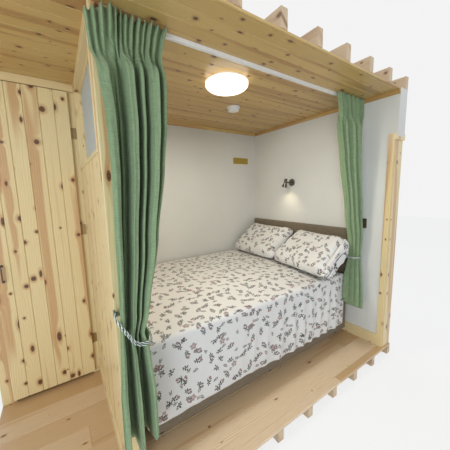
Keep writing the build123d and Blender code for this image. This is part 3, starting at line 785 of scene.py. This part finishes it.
# %% Printed cotton
def make_print():
    finish, tree, shader = new_finish("sprigged_cotton", Specular_IOR_Level=0.2, Sheen_Weight=0.08)
    cut = node(tree, "TexCoord")["UV"]
    place = split(cut)
    wobbled = {"Across": speckle(cut, 70.0) * 0.005 + place[0], "Down": place[1]}
    small, extra, bloom = (
        node(tree, "Group", {**wobbled, **layer}, node_tree=sprigs)
        for layer in (
            {"Spacing": 0.080, "Scale": 1.2, "Share": 0.9},
            {"Spacing": 0.068, "Scale": 0.75, "Share": 0.6, "Seed": 3.3},
            {"Spacing": 0.22, "Scale": 2.7, "Share": 0.8, "Seed": 7.7},
        )
    )
    woven = threads_of(tree, "UV", 0.0008, 0.4)
    colour = blend(woven["Shade"], (0.72, 0.70, 0.67, 1), (0.66, 0.645, 0.615, 1))
    for layer, leaf, strength in ((extra, (0.03, 0.035, 0.03, 1), 0.88), (small, (0.02, 0.027, 0.022, 1), 0.95)):
        rust_or_plum = threshold(layer["Dice"], 0.25, 0.35)
        colour = blend(layer["Leaves"] * strength, colour, leaf)
        flower = blend(rust_or_plum, (0.25, 0.10, 0.07, 1), (0.18, 0.085, 0.10, 1))
        colour = blend(layer["Flower"] * strength, colour, flower)
    colour = blend(bloom["Flower"] * 0.75, colour, (0.27, 0.16, 0.145, 1))
    dress(shader, colour, woven["Height"] * -0.1 + 0.9, woven["Height"], 0.2, 0.0004)
    return finish


sprigged_cotton = make_print()
print("print made of", len(sprigged_cotton.node_tree.nodes), "nodes")

# %% [markdown]
# ## Helpers for soft pieces
# Soft pieces start as a grid or a cube whose vertices are moved, and then Blender's cloth solver lets
# them swell or settle. The solver can run away, so after it each vertex may only be a set distance from
# where it started. Running it in the script, and applying it, leaves a plain mesh.


# %% Small sums for soft shapes
def clamp(value, low=0.0, high=1.0):
    """The value, kept between low and high."""
    return min(high, max(low, value))


def wander(x, y, z):
    """Smooth noise at a place, between about -1 and 1."""
    return noise.noise(Vector((x, y, z)))


def lay_cut_map(form, rule):
    """Gives each corner its place on the flat cloth, in metres, by a rule on its face and its vertex."""
    uv = form.loops.layers.uv.new("cut")
    for face in form.faces:
        for loop in face.loops:
            loop[uv].uv = rule(face, loop.vert.co)


def soften(piece):
    """One level of subdivision, in the view and in the render."""
    soft = piece.modifiers.new("soft", "SUBSURF")
    soft.levels = soft.render_levels = 1


print("soft shape helpers ready")


# %% Let a cloth settle
def settle(piece, frames, cap, pressure=0.0, gravity=0.0, grow=0.02, stiff=15.0, bending=0.5, on=None):
    """Runs Blender's cloth for some frames and keeps each vertex within cap of its start."""
    before = np.empty(len(piece.data.vertices) * 3)
    piece.data.vertices.foreach_get("co", before)
    solver = piece.modifiers.new("cloth", "CLOTH")
    setup = solver.settings
    setup.quality = 5
    setup.mass = 0.3
    setup.tension_stiffness = setup.compression_stiffness = stiff
    setup.shear_stiffness = stiff / 3
    setup.bending_stiffness = bending
    setup.shrink_min = -grow
    setup.effector_weights.gravity = gravity
    setup.use_pressure = pressure > 0
    setup.uniform_pressure_force = pressure
    solver.collision_settings.use_self_collision = False
    solver.collision_settings.distance_min = 0.004
    solver.point_cache.frame_start, solver.point_cache.frame_end = 1, frames
    if on:
        on.modifiers.new("collision", "COLLISION")
        on.collision.thickness_outer = 0.004
    scene = bpy.context.scene
    for number in range(1, frames + 1):
        scene.frame_set(number)
    shaped = piece.evaluated_get(bpy.context.evaluated_depsgraph_get()).data
    after = np.empty(len(shaped.vertices) * 3)
    shaped.vertices.foreach_get("co", after)
    piece.modifiers.remove(solver)
    scene.frame_set(1)
    before, after = before.reshape(-1, 3), after.reshape(-1, 3)
    moved = after - before
    far = np.linalg.norm(moved, axis=1, keepdims=True)
    kept = before + moved * np.minimum(1, cap / np.maximum(far, 1e-9))
    piece.data.vertices.foreach_set("co", kept.ravel())
    piece.data.update()
    print(piece.name, "moved up to", round(float(far.max()), 3), "m, kept to", cap)


print("settle ready")

# %% [markdown]
# ## Pillows
# Two plump pillows lean on the headboard. Each starts as a thin cushion: a cube cut into a grid, whose
# two faces are domed and whose outline is pulled in between the corners. Air pressure in the cloth
# solver then fills it, so that the cloth wrinkles towards the corners. The seam is added last.


# %% Pillow shapes
PILLOW_HEIGHT, PILLOW_WIDTH, PILLOW_HALF = 0.480, 0.690, 0.062
# How far each one is turned and leaned back, in degrees
PILLOW_TURNS = {"far_pillow": (0, 37), "near_pillow": (-8, 35)}


def pillow_blank(name, seed):
    """A domed cushion in its own flat coordinates, with the print's UV map on it."""
    form = bmesh.new()
    bmesh.ops.create_cube(form, size=2)
    edges = [edge for edge in form.edges if abs(edge.verts[0].co.z - edge.verts[1].co.z) < 1]
    bmesh.ops.subdivide_edges(form, edges=edges, cuts=55, use_grid_fill=True)
    for vert in form.verts:
        a, b, side = vert.co
        dome = max(0.0, (1 - abs(a) ** 3.2) * (1 - abs(b) ** 5)) ** 0.42
        round_a, round_b = 1 - 0.085 * b ** 8, 1 - 0.060 * a ** 8
        lump = 1 + 0.14 * wander(a * 1.5, b * 1.9, seed)
        height = side * (0.002 + PILLOW_HALF * 1.04 * dome * lump)
        vert.co = Vector((a * PILLOW_HEIGHT / 2 * round_a, b * PILLOW_WIDTH / 2 * round_b, height))
    lay_cut_map(form, lambda face, place: (place.x + seed, place.y * (1 if face.normal.z > 0 else -1)))
    return object_of(name, form)


def place_pillow(piece, node_name):
    """Leans a flat pillow on the headboard where its CAD solid is."""
    low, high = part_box(node_name)
    middle = (Vector(low) + Vector(high)) / 2
    turn, lean = (math.radians(angle) for angle in PILLOW_TURNS[node_name])
    stand = Matrix.Rotation(turn, 4, "Z") @ Matrix.Rotation(-lean, 4, "Y")
    piece.data.transform(Matrix.Translation(middle) @ stand)


def near_end_share(x):
    """How far towards its near end the near pillow reaches, at each height on its slope."""
    return 0.935 - 0.055 * clamp(x * 2 / PILLOW_HEIGHT, -1.0)


print("pillows", PILLOW_HEIGHT, "by", PILLOW_WIDTH)


# %% A seam from a curve
def closed_run(line, points):
    """Adds a closed run of straight pieces to a curve."""
    spline = line.splines.new("POLY")
    spline.points.add(len(points) - 1)
    spline.points.foreach_set("co", np.column_stack([points, np.ones(len(points))]).ravel())
    spline.use_cyclic_u = True


def mesh_of_curve(line):
    """The mesh that Blender makes of a curve."""
    source = put_in_scene("curve", line)
    mesh = bpy.data.meshes.new_from_object(source.evaluated_get(bpy.context.evaluated_depsgraph_get()))
    bpy.data.objects.remove(source)
    return mesh


def seam_of(name, piece, radius):
    """A thin piping round the widest line of a flat pillow."""
    best = {}
    for vert in piece.data.vertices:
        slice_number = round(math.atan2(vert.co.y / PILLOW_WIDTH, vert.co.x / PILLOW_HEIGHT) / math.tau * 160) % 160
        if slice_number not in best or vert.co.xy.length > best[slice_number].xy.length:
            best[slice_number] = vert.co.copy()
    ring = [best[key] for key in sorted(best)]
    points = []
    for i in range(len(ring)):
        around = (ring[i - 1] + ring[i] * 2 + ring[(i + 1) % len(ring)]) / 4
        points.append((around.x * 1.004, around.y * 1.004, around.z))
    line = bpy.data.curves.new(name, "CURVE")
    line.dimensions, line.bevel_depth, line.bevel_resolution = "3D", radius, 2
    closed_run(line, points)
    return put_in_scene(name, mesh_of_curve(line))


print("seams can be sewn")

# %% Fill, sew and place the pillows
for name, seed in (("far_pillow", 0.37), ("near_pillow", 1.91)):
    pillow = pillow_blank(f"{name}_filled", seed)
    settle(pillow, 22, 0.016, pressure=3.0, grow=0.08, stiff=8.0, bending=0.02)
    seam = seam_of(f"{name}_piping", pillow, 0.0022)
    for piece in (pillow, seam):
        if name == "near_pillow":
            # Its case is longer than the pillow, so the filled part is a little narrower, most of all on top
            for vert in piece.data.vertices:
                vert.co.y = PILLOW_WIDTH / 2 - (PILLOW_WIDTH / 2 - vert.co.y) * near_end_share(vert.co.x)
        place_pillow(piece, name)
    hand_over(pillow, [name], sprigged_cotton, smooth=True)
    hand_over(seam, [], sheet_cotton, smooth=True)
    soften(pillow)
    print(pillow.name, "box", rounded(pillow.dimensions))

# %% The open end of the near pillowcase
# It is slack: the upper layer folds down over the lower one, which sags towards the bed
CASE_ROUND, CASE_DEPTH = 1.00, 0.080
form = bmesh.new()
bmesh.ops.create_cone(form, cap_ends=False, segments=180, radius1=1, radius2=1, depth=2)
rounds = [edge for edge in form.edges if abs(edge.verts[0].co.z - edge.verts[1].co.z) > 1]
bmesh.ops.subdivide_edges(form, edges=rounds, cuts=15)


def place_on_case(face, place):
    """Where a corner lies on the flat case, with its join at the far fold."""
    turn = math.atan2(place.y, place.x)
    turn -= math.tau if turn > 1 and face.calc_center_median().y < 0 else 0
    return turn / math.tau * CASE_ROUND, place.z / 2 * CASE_DEPTH


lay_cut_map(form, place_on_case)
for vert in form.verts:
    across, thick, out = vert.co
    out = (out + 1) / 2
    bulge = math.sin(math.pi * out)
    full = max(0.0, 1 - abs(across) ** 2.6) ** 0.7
    lip = -0.014 + 0.024 * wander(across * 2.4, 1.7, 8.8)
    crease = wander(across * 5.2, out * 2.2, 4.4 if thick > 0 else 9.1)
    if thick > 0:
        height = (0.006 + 0.030 * full) * (1 - out ** 2.5) + (lip + 0.002) * out ** 2.5 + 0.006 * bulge
    else:
        height = -(0.006 + 0.032 * full) * (1 - out ** 2) + (lip - 0.002) * out ** 2 - 0.052 * full * bulge
    height += 0.010 * crease * bulge
    share = near_end_share(across * PILLOW_HEIGHT / 2)
    body_end = PILLOW_WIDTH / 2 - PILLOW_WIDTH * (1 - 0.030 * across ** 8) * share
    reach = math.copysign(abs(across) ** 0.8, across) * PILLOW_HEIGHT / 2 * 0.91
    end = body_end + 0.020 - 0.038 * math.sin(out * math.pi / 2) + 0.010 * out * crease
    vert.co = Vector((reach, end, height))
bmesh.ops.recalc_face_normals(form, faces=form.faces)
cuff = piece_of("near_pillow_cuff", form, ["near_pillow"], sprigged_cotton, smooth=True)
place_pillow(cuff, "near_pillow")
cuff.modifiers.new("hem", "SOLIDIFY").thickness = 0.0016
print("cuff box", rounded(cuff.dimensions))

# %% [markdown]
# ## The duvet
# The duvet lies flat over the mattress and hangs down the near side and the foot. It could be draped
# from a flat square, but the loose corner would stick out through the partition. So it is cut like a
# fitted cover: one grid whose corner square is left out, folded down at two edges and joined at the
# corner. The solver then lets the slack cloth sink and pucker, and a modifier gives it its filling.

# %% Cut and fold the duvet
CELL = 0.019
duvet_low, duvet_high = (Vector(v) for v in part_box("duvet"))
duvet_top = duvet_high.z - 0.010
edge_x, edge_y = duvet_low.x + 0.006, duvet_low.y + 0.006
top_x = math.ceil((duvet_high.x - edge_x) / CELL)
top_y = math.ceil((duvet_high.y - 0.004 - edge_y) / CELL)
drop = math.floor((duvet_high.z - duvet_low.z) / CELL)
form = bmesh.new()
bmesh.ops.create_grid(form, x_segments=top_x + drop, y_segments=top_y + drop, size=0.5)
for vert in form.verts:
    vert.co.x = round((vert.co.x + 0.5) * (top_x + drop)) - drop
    vert.co.y = round((vert.co.y + 0.5) * (top_y + drop)) - drop
lay_cut_map(form, lambda face, place: (place.x * CELL, place.y * CELL))
spare = [vert for vert in form.verts if vert.co.x < 0 and vert.co.y < 0]
bmesh.ops.delete(form, geom=spare, context="VERTS")
for vert in form.verts:
    across, down = vert.co.x, vert.co.y
    fall = -min(across, down, 0) * CELL
    x = min(edge_x + max(across, 0) * CELL, duvet_high.x - 0.004)
    y = min(edge_y + max(down, 0) * CELL, duvet_high.y - 0.006)
    vert.co = Vector((x, y, duvet_top - fall))
bmesh.ops.remove_doubles(form, verts=form.verts, dist=0.0005)


def near_a_bend(place):
    """Whether a place is close to the top's edge or to the corner."""
    return place.z > duvet_top - 0.07 or (place - Vector((edge_x, edge_y, place.z))).length < 0.07


rims = {vert for edge in form.edges if edge.is_boundary for vert in edge.verts}
bends = [vert for vert in form.verts if vert not in rims and near_a_bend(vert.co)]
for _ in range(9):
    bmesh.ops.smooth_vert(form, verts=bends, factor=0.5, use_axis_x=True, use_axis_y=True, use_axis_z=True)
duvet = object_of("duvet_cover", form)
print("duvet has", len(duvet.data.vertices), "vertices")

# %% Settle the duvet on a block as large as the mattress and its filling
form = bmesh.new()
block_low = duvet_low + Vector((0.030, 0.030, -0.1))
block_high = (duvet_high.x + 0.1, duvet_high.y + 0.05, duvet_top - 0.014)
add_board(form, block_low, block_high, 0.03, segments=4)
block = object_of("duvet_block", form)
settle(duvet, 30, 0.022, gravity=1.0, grow=0.07, stiff=12.0, bending=0.06, on=block)
bpy.data.objects.remove(block)
for vert in duvet.data.vertices:
    place = vert.co
    soft = noise.noise(place * 2.6) * 0.007 + noise.noise(place * 6.1) * 0.003
    # The near side hangs in folds that deepen towards the hem and the head end
    hang = clamp((duvet_top - 0.05 - place.z) / 0.28) if place.y < edge_y + 0.06 else 0.0
    deep = hang * clamp((place.x + 0.15) / 0.7, 0.12)
    lean = (duvet_top - place.z) * 3.0 + 2.2 * wander(place.x * 2.1, place.z, 3.3)
    fold = (1 - abs(math.sin(place.x * 27 + lean))) ** 1.5 * 0.030 * deep
    push = soft - 0.004 + fold * (1 if place.x < 1.05 else 0.2)
    lift = 0.010 * deep * wander(place.x * 9, 1, 1)
    vert.co = place + vert.normal * push + Vector((0, 0, lift))
duvet.data.update()
filling = duvet.modifiers.new("filling", "SOLIDIFY")
filling.thickness, filling.offset = 0.022, -1
soften(duvet)
hand_over(duvet, ["duvet"], sprigged_cotton, smooth=True)
print("duvet box", rounded(duvet.dimensions), "CAD", rounded(duvet_high - duvet_low))

# %% [markdown]
# ## Curtains
# Each curtain is one flat cloth, gathered by its heading tape into narrow pencil pleats, and pulled in
# again at the tie-back. A cloth solver would need minutes to fold it this tightly. Instead every level
# of a grid is laid along a wavy line, and the wave is made deeper until that line is exactly as long as
# the cloth is wide, so the cloth is folded and never stretched.


# %% The line of one level
def ease_in(share):
    """A share in 0 to 1, leaving 0 and meeting 1 softly."""
    return share * share * (3 - 2 * share)


def between(at, places, values):
    """A value between stations that leaves and meets each one softly."""
    at = clamp(at, places[0], places[-1])
    i = max(j for j in range(len(places) - 1) if places[j] <= at)
    share = (at - places[i]) / (places[i + 1] - places[i])
    share = share * 0.5 + ease_in(share) * 0.5
    return values[i] + (values[i + 1] - values[i]) * share


SAMPLES, SMOOTHED = 1800, 45
TIE_HEIGHT = 0.86


def fold_line(level, plan, seed, stations, rail_line, pleats):
    """One level of the curtain: its x and middle y, its wave, and the most that the wave may be deep."""
    places, *sides = zip(*stations)
    x0, x1, y0, y1 = (between(level, places, side) for side in sides)
    s = np.linspace(0, 1, SAMPLES)
    # Each fold of the plan has a width and a depth; the folds wander a little with height
    widths, depths = np.array(plan, dtype=float).T
    widths = widths / widths.sum()
    ends = np.concatenate(([0], np.cumsum(widths)))
    drift = np.array([wander(end * 2.3, level * 0.9, seed) for end in ends])
    ends = ends + 0.16 * drift * ends * (1 - ends)
    starts, stops = ends[:-1] + 0.33 * np.diff(ends), ends[1:] - 0.33 * np.diff(ends)
    crests = depths * (1 + 0.22 * np.array([wander(i * 1.9, level * 0.7, seed + 9) for i in range(len(plan))]))
    # Under the tie the small folds open out into the broad ones
    open_out = clamp((TIE_HEIGHT - level) / 0.20)
    small = (widths < 0.062) & (depths > -0.9)
    crests = np.where(small, crests * (1 - open_out) - 0.95 * open_out, crests)
    at = np.column_stack([starts, stops]).ravel()
    wave = np.interp(s, at, np.repeat(crests, 2))
    # Broad folds swell over the narrow ones beside them
    wide = np.diff(ends) * (x1 - x0)
    to_left = np.minimum(0.007, 0.3 * np.concatenate(([0], wide[:-1])))
    to_right = np.minimum(0.007, 0.3 * np.concatenate((wide[1:], [0])))
    swell = np.interp(s, at, np.column_stack([-to_left, to_right]).ravel())
    smooth = np.hanning(SMOOTHED) / np.hanning(SMOOTHED).sum()
    wave, swell = (
        np.convolve(np.pad(line, SMOOTHED // 2, mode="edge"), smooth, mode="valid") for line in (wave, swell)
    )
    ripple = np.array([wander(t * 15, level * 1.8, seed + 4) for t in s[::10]])
    wave = wave + 0.22 * np.interp(s, s[::10], ripple)
    # The heading tape draws the top into narrow pleats
    beat = s + 0.016 * np.sin(8 * s + seed) + 0.009 * np.sin(19 * s + 2 * seed)
    narrow = np.sin(math.tau * pleats * beat) * (0.9 + 0.3 * np.sin(31 * s + seed))
    tight = ease_in(clamp((level - (places[-1] - 0.24)) / 0.14))
    wave = wave * (1 - 0.80 * tight) + narrow * (0.80 * tight)
    x = x0 + (x1 - x0) * s + swell * (1 - tight)
    middle = np.full(len(s), (y0 + y1) / 2) * (1 - tight) + (rail_line - 0.040) * tight
    return x, middle, wave, (y1 - y0) / 2 * (1.30 * (1 - tight) + 0.56 * tight)


print("each level has", SAMPLES, "places")


# %% Fold one level
rail_low, rail_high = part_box("curtain_rail")
rail_middle = (rail_low[1] + rail_high[1]) / 2
POST_FRONT, RAIL_FOOT = -0.6465, 2.190


def run_along(x, y):
    """The length of a line up to each of its places."""
    return np.concatenate(([0], np.cumsum(np.hypot(np.diff(x), np.diff(y)))))


def fold_level(level, plan, cut_width, seed, stations, post_edge, pleats):
    """A level as a line in x and y, with its folds as deep as the cut width asks for."""
    x, middle, wave, most = fold_line(level, plan, seed, stations, rail_middle, pleats)
    if post_edge:
        beside = np.clip((x - post_edge) / 0.03, 0, 1)
        middle = middle - 0.042 * (1 - beside) * clamp((level - 2.07) / 0.1)
    shallow, deep = 0.0, most
    for _ in range(20):
        depth = (shallow + deep) / 2
        y = middle - wave * depth
        if run_along(x, y)[-1] < cut_width:
            shallow = depth
        else:
            deep = depth
    # Keep the cloth in front of the partition's post and of the rail
    if post_edge:
        y = np.where(x < post_edge + 0.006, np.minimum(y, POST_FRONT), y)
    if level > RAIL_FOOT:
        y = np.minimum(y, rail_low[1] - 0.0015)
    return x, y, depth * 2


print("rail at y", round(rail_middle, 3))


# %% Fold a curtain
def hang_curtain(name, node_name, stations, plan, cut_width, seed, hem_rise, post_edge=None, pleats=13):
    """The whole curtain: folds at each level as deep as the cut width asks for."""
    across, down = 320, 100
    hem, heading = stations[0][0], stations[-1][0]
    form = bmesh.new()
    bmesh.ops.create_grid(form, x_segments=across, y_segments=down, size=0.5)
    lay_cut_map(form, lambda face, place: ((place.x + 0.5) * cut_width, (place.y + 0.5) * (heading - hem)))
    rows = {}
    for vert in form.verts:
        rows.setdefault(round((vert.co.y + 0.5) * down), []).append(vert)
    deepest, widest = 0.0, 0.0
    for number, row in rows.items():
        height = number / down
        level = hem + (heading - hem) * height
        x, y, depth = fold_level(level, plan, cut_width, seed, stations, post_edge, pleats)
        run = run_along(x, y)
        deepest, widest = max(deepest, depth), max(widest, run[-1])
        for vert in row:
            share = vert.co.x + 0.5
            at = share * run[-1]
            rise = np.interp(share, *hem_rise) * (1 - height) ** 3
            ruffle = 0.004 * math.sin(share * 150 + seed) * max(0.0, (height - 0.97) / 0.03)
            if post_edge:
                ruffle -= 0.060 * max(0.0, 1 - share / 0.28) * max(0.0, (height - 0.85) / 0.15)
            pucker = 0.0022 * wander(share * 22, level * 11, seed)
            vert.co = Vector((np.interp(at, run, x), np.interp(at, run, y) + pucker, level + rise + ruffle))
    bmesh.ops.recalc_face_normals(form, faces=form.faces)
    curtain = piece_of(name, form, [node_name], sage_cloth, smooth=True)
    thick = curtain.modifiers.new("thickness", "SOLIDIFY")
    thick.thickness, thick.offset = 0.0012, 0
    print(name, "folds up to", round(deepest, 3), "m deep, longest level", round(float(widest), 3), "m")
    print("box", [rounded(curtain.bound_box[i]) for i in (0, 6)], "CAD", [rounded(v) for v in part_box(node_name)])


print("curtains can be hung")

# %% Hang both curtains
# A station is a height, the cloth's two ends in x, and its front and back in y
left_stations = (
    (0.290, -0.840, -0.664, -0.757, -0.648), (0.560, -0.838, -0.664, -0.757, -0.648),
    (0.780, -0.822, -0.682, -0.742, -0.660), (0.856, -0.816, -0.700, -0.735, -0.664),
    (0.960, -0.812, -0.672, -0.742, -0.660), (1.270, -0.808, -0.616, -0.745, -0.650),
    (1.600, -0.798, -0.570, -0.749, -0.648), (1.790, -0.800, -0.546, -0.730, -0.645),
    (1.960, -0.812, -0.530, -0.708, -0.636), (2.090, -0.824, -0.524, -0.690, -0.624),
    (2.170, -0.833, -0.506, -0.677, -0.612), (2.2330, -0.838, -0.486, -0.659, -0.580),
)
right_stations = (
    (0.415, 1.085, 1.268, -0.728, -0.612), (0.620, 1.100, 1.266, -0.716, -0.610),
    (0.885, 1.143, 1.260, -0.687, -0.611), (1.000, 1.128, 1.262, -0.692, -0.606),
    (1.270, 1.066, 1.266, -0.700, -0.590), (1.790, 0.968, 1.266, -0.690, -0.572),
    (1.960, 0.940, 1.264, -0.675, -0.578), (2.110, 0.914, 1.262, -0.664, -0.588),
    (2.2330, 0.882, 1.256, -0.662, -0.580),
)
# A plan is each fold's share of the width and its depth, forward or back
left_plan = (
    (0.22, 1), (0.045, -1), (0.05, -0.45), (0.045, -1), (0.20, 0.9), (0.05, -1), (0.06, 0.6),
    (0.04, -1), (0.20, 1), (0.045, -1), (0.06, 0.3),
)
right_plan = (
    (0.06, 0.1), (0.04, -0.6), (0.09, 0.5), (0.045, -0.8), (0.16, 0.85), (0.045, -1), (0.045, 0.3),
    (0.04, -1), (0.18, 0.85), (0.045, -1), (0.06, 0.3), (0.045, -1), (0.09, 0.0),
)
left_hem = ((0, 0.25, 0.5, 0.7, 0.85, 1), (0.08, 0.0, 0.0, 0.035, 0.08, 0.13))
right_hem = ((0, 0.3, 0.6, 1), (0.10, 0.03, 0.0, 0.01))
hang_curtain("left_curtain_cloth", "left_curtain", left_stations, left_plan, 1.03, 2.6, left_hem, post_edge=-0.733)
hang_curtain("right_curtain_cloth", "right_curtain", right_stations, right_plan, 1.16, 5.1, right_hem)

# %% [markdown]
# ## Tie-backs
# A doubled cord, twisted from green and white strands, holds each curtain. Twisting a finished tube
# would twist nothing that can be seen, so four strands are laid as helices round each cord's line.
# That line is a closed smooth curve through a few places: the hook, round the front of the cloth, and
# back behind it. The second cord takes the same way a little lower.


# %% Twisted cord finish
def make_strand(name, light, dark):
    finish, tree, shader = new_finish(name, Specular_IOR_Level=0.25, Sheen_Weight=0.1)
    fibre = speckle(node(tree, "TexCoord")["Object"], 900.0)
    colour = blend(threshold(fibre, 0.3, 0.7), (*light, 1), (*dark, 1))
    dress(shader, colour, fibre * 0.2 + 0.6, fibre, 0.5, 0.0004)
    return finish


white_strand = make_strand("white_strand", (0.86, 0.87, 0.83), (0.70, 0.72, 0.66))
green_strand = make_strand("green_strand", (0.035, 0.10, 0.06), (0.018, 0.055, 0.032))
print("strands:", white_strand.name, green_strand.name)


# %% The line of a cord
STEP = 0.0022


def tie_line(name, places):
    """A closed smooth curve through the places, read back as evenly spaced points."""
    line = bpy.data.curves.new(name, "CURVE")
    line.dimensions, line.resolution_u = "3D", 24
    spline = line.splines.new("BEZIER")
    spline.bezier_points.add(len(places) - 1)
    for point, place in zip(spline.bezier_points, places):
        point.co = place
        point.handle_left_type = point.handle_right_type = "AUTO"
    spline.use_cyclic_u = True
    mesh = mesh_of_curve(line)
    points = np.array([vert.co for vert in mesh.vertices])
    bpy.data.meshes.remove(mesh)
    closed = np.vstack([points, points[:1]])
    run = np.concatenate(([0], np.cumsum(np.linalg.norm(np.diff(closed, axis=0), axis=1))))
    at = np.linspace(0, run[-1], round(run[-1] / STEP), endpoint=False)
    return np.column_stack([np.interp(at, run, closed[:, i]) for i in range(3)]), run[-1]


print("a cord has a place every", STEP, "m")

# %% Twist the cords
STRAND, STRAND_OFFSET, PITCH = 0.0018, 0.0021, 0.046


def strand_paths(points, turns, starts):
    """Helices round a closed line, each from its own starting angle."""
    ahead = np.roll(points, -1, axis=0) - np.roll(points, 1, axis=0)
    ahead /= np.linalg.norm(ahead, axis=1, keepdims=True)
    side = np.cross(ahead, (0.02, 0.3, 0.95))
    side /= np.linalg.norm(side, axis=1, keepdims=True)
    over = np.cross(ahead, side)
    for start in starts:
        angle = start + np.arange(len(points)) / len(points) * math.tau * turns
        yield points + STRAND_OFFSET * (np.cos(angle)[:, None] * side + np.sin(angle)[:, None] * over)


def twist_cord(name, node_name, places, droops):
    """Two cords, each of four strands, white and green in turn, closed after whole turns."""
    lowered = [(x, y, z - droop) for (x, y, z), droop in zip(places, droops)]
    (upper, length), (lower, _) = tie_line(name, places), tie_line(name, lowered)
    turns = round(length / PITCH)
    for colour, paint, first in (("white", white_strand, 0.0), ("green", green_strand, math.pi / 2)):
        line = bpy.data.curves.new(f"{name}_{colour}", "CURVE")
        line.dimensions, line.bevel_depth, line.bevel_resolution = "3D", STRAND, 1
        for points in (upper, lower):
            for strand in strand_paths(points, turns, (first, first + math.pi)):
                closed_run(line, strand)
        piece = put_in_scene(f"{name}_{colour}", mesh_of_curve(line))
        hand_over(piece, [node_name], paint, smooth=True)
    print(name, "is", round(float(length), 3), "m round,", turns, "turns")


print("one twist takes", PITCH, "m")

# %% Tie both curtains back
twist_cord("left_cord", "left_tieback", (
    (-0.806, -0.6475, 0.957), (-0.824, -0.690, 0.992), (-0.828, -0.748, 0.984),
    (-0.788, -0.765, 0.908), (-0.748, -0.767, 0.853), (-0.704, -0.762, 0.842),
    (-0.681, -0.718, 0.842), (-0.692, -0.654, 0.862), (-0.765, -0.6485, 0.932),
), (0.007, 0.0075, 0.008, 0.015, 0.012, 0.008, 0.008, 0.010, 0.008))
twist_cord("right_cord", "right_tieback", (
    (1.2750, -0.645, 0.889), (1.258, -0.668, 0.889), (1.205, -0.700, 0.889), (1.140, -0.694, 0.889),
    (1.126, -0.648, 0.889), (1.138, -0.600, 0.889), (1.200, -0.594, 0.889), (1.262, -0.606, 0.889),
), (0.0075,) * 8)

# %% [markdown]
# ## Floor, light and background
# The object stands on a plain pale studio floor. A wide soft lamp in front lights the room side much as
# the daylight does, a weaker one fills from the other side, and the alcove's own two fittings add
# their warm light. The floor and sky are plain white to the camera only, and still take shadows.


# %% Studio floor
def seen_directly(tree):
    """1 where the camera sees a surface itself, or sees it in a gloss or through glass."""
    rays = node(tree, "LightPath")
    return largest([rays[f"Is {kind} Ray"] for kind in ("Camera", "Glossy", "Transmission")])


form = bmesh.new()
bmesh.ops.create_grid(form, x_segments=1, y_segments=1, size=14)
studio_floor = object_of("studio_floor", form)
floor_finish, tree, shader = new_finish(
    "studio_floor", Base_Color=(0.80, 0.80, 0.79, 1), Roughness=0.9, Specular_IOR_Level=0.1
)
pale = node(tree, "Emission", {"Color": (0.95, 0.95, 0.945, 1), "Strength": 1.0})[0]
lifted = node(tree, "MixShader", {0: seen_directly(tree) * 0.82, 1: Outputs(shader)[0], 2: pale})
feed(tree.nodes["Material Output"], {0: lifted[0]})
coat_with(floor_finish, studio_floor.data)
studio_floor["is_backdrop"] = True
print("studio floor at z = 0")


# %% Lamps
def lamp(name, kind, place, aim, power, colour, size):
    """A lamp at place that points at aim."""
    data = bpy.data.lights.new(name, kind)
    data.energy, data.color = power, colour
    if kind == "AREA":
        data.shape, data.size, data.size_y = "RECTANGLE", size[0], size[1]
    else:
        data.shadow_soft_size, data.spot_size, data.spot_blend = size[0], math.radians(105), 1.0
    made = put_in_scene(name, data)
    made.location = place
    made.rotation_euler = (Vector(aim) - Vector(place)).to_track_quat("-Z", "Y").to_euler()


def under(node_name):
    """The middle of a node, and the place just under it."""
    low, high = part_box(node_name)
    middle = [(a + b) / 2 for a, b in zip(low, high)]
    return middle, (middle[0], middle[1], low[2] - 0.01)


lamp("window_side", "AREA", (-3.7, -3.5, 1.7), (0.1, 0.0, 0.9), 92, (0.82, 0.92, 1.0), (2.2, 1.8))
lamp("doorway_side", "AREA", (2.6, -4.4, 2.2), (0.2, 0.0, 0.9), 11, (0.88, 0.94, 1.0), (1.8, 1.8))
lamp("behind", "AREA", (0.6, 4.8, 3.4), (0.0, 0.6, 1.2), 100, (1.0, 1.0, 1.0), (3.0, 2.0))
_, opal = under("light_diffuser")
lamp("ceiling_glow", "AREA", opal, (opal[0], opal[1], 0), 13, (0.99, 0.96, 0.855), (0.2, 0.2))
middle, lens = under("lamp_lens")
on_wall = (middle[0] + 0.13, middle[1] + 0.03, middle[2] - 0.34)
lamp("reading_glow", "SPOT", (lens[0] - 0.025, *lens[1:]), on_wall, 1.25, (1.0, 0.85, 0.6), (0.02,))

# %% The sky, white to the camera
world = bpy.data.worlds.new("studio")
world.use_nodes = True
bpy.context.scene.world = world
sky = world.node_tree
backdrop = sky.nodes["Background"]
feed(backdrop, {"Color": (0.92, 0.95, 1.0, 1), "Strength": 0.7})
plain = node(sky, "Background", {"Color": (1, 1, 1, 1), "Strength": 0.9})[0]
mixed = node(sky, "MixShader", {0: seen_directly(sky), 1: Outputs(backdrop)[0], 2: plain})
feed(sky.nodes["World Output"], {0: mixed[0]})
bpy.context.scene.view_settings.view_transform = "Standard"
print("world set")

# %% [markdown]
# Blender must not change the object's size, so the box of the CAD model and the box of the dressed
# object are kept side by side.

# %% Finish
final_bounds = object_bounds()
boxes = {"cad": [[float(v) for v in corner] for corner in cad_bounds], "visual": [[float(v) for v in corner] for corner in final_bounds]}
print("visual box", [rounded(corner) for corner in final_bounds])
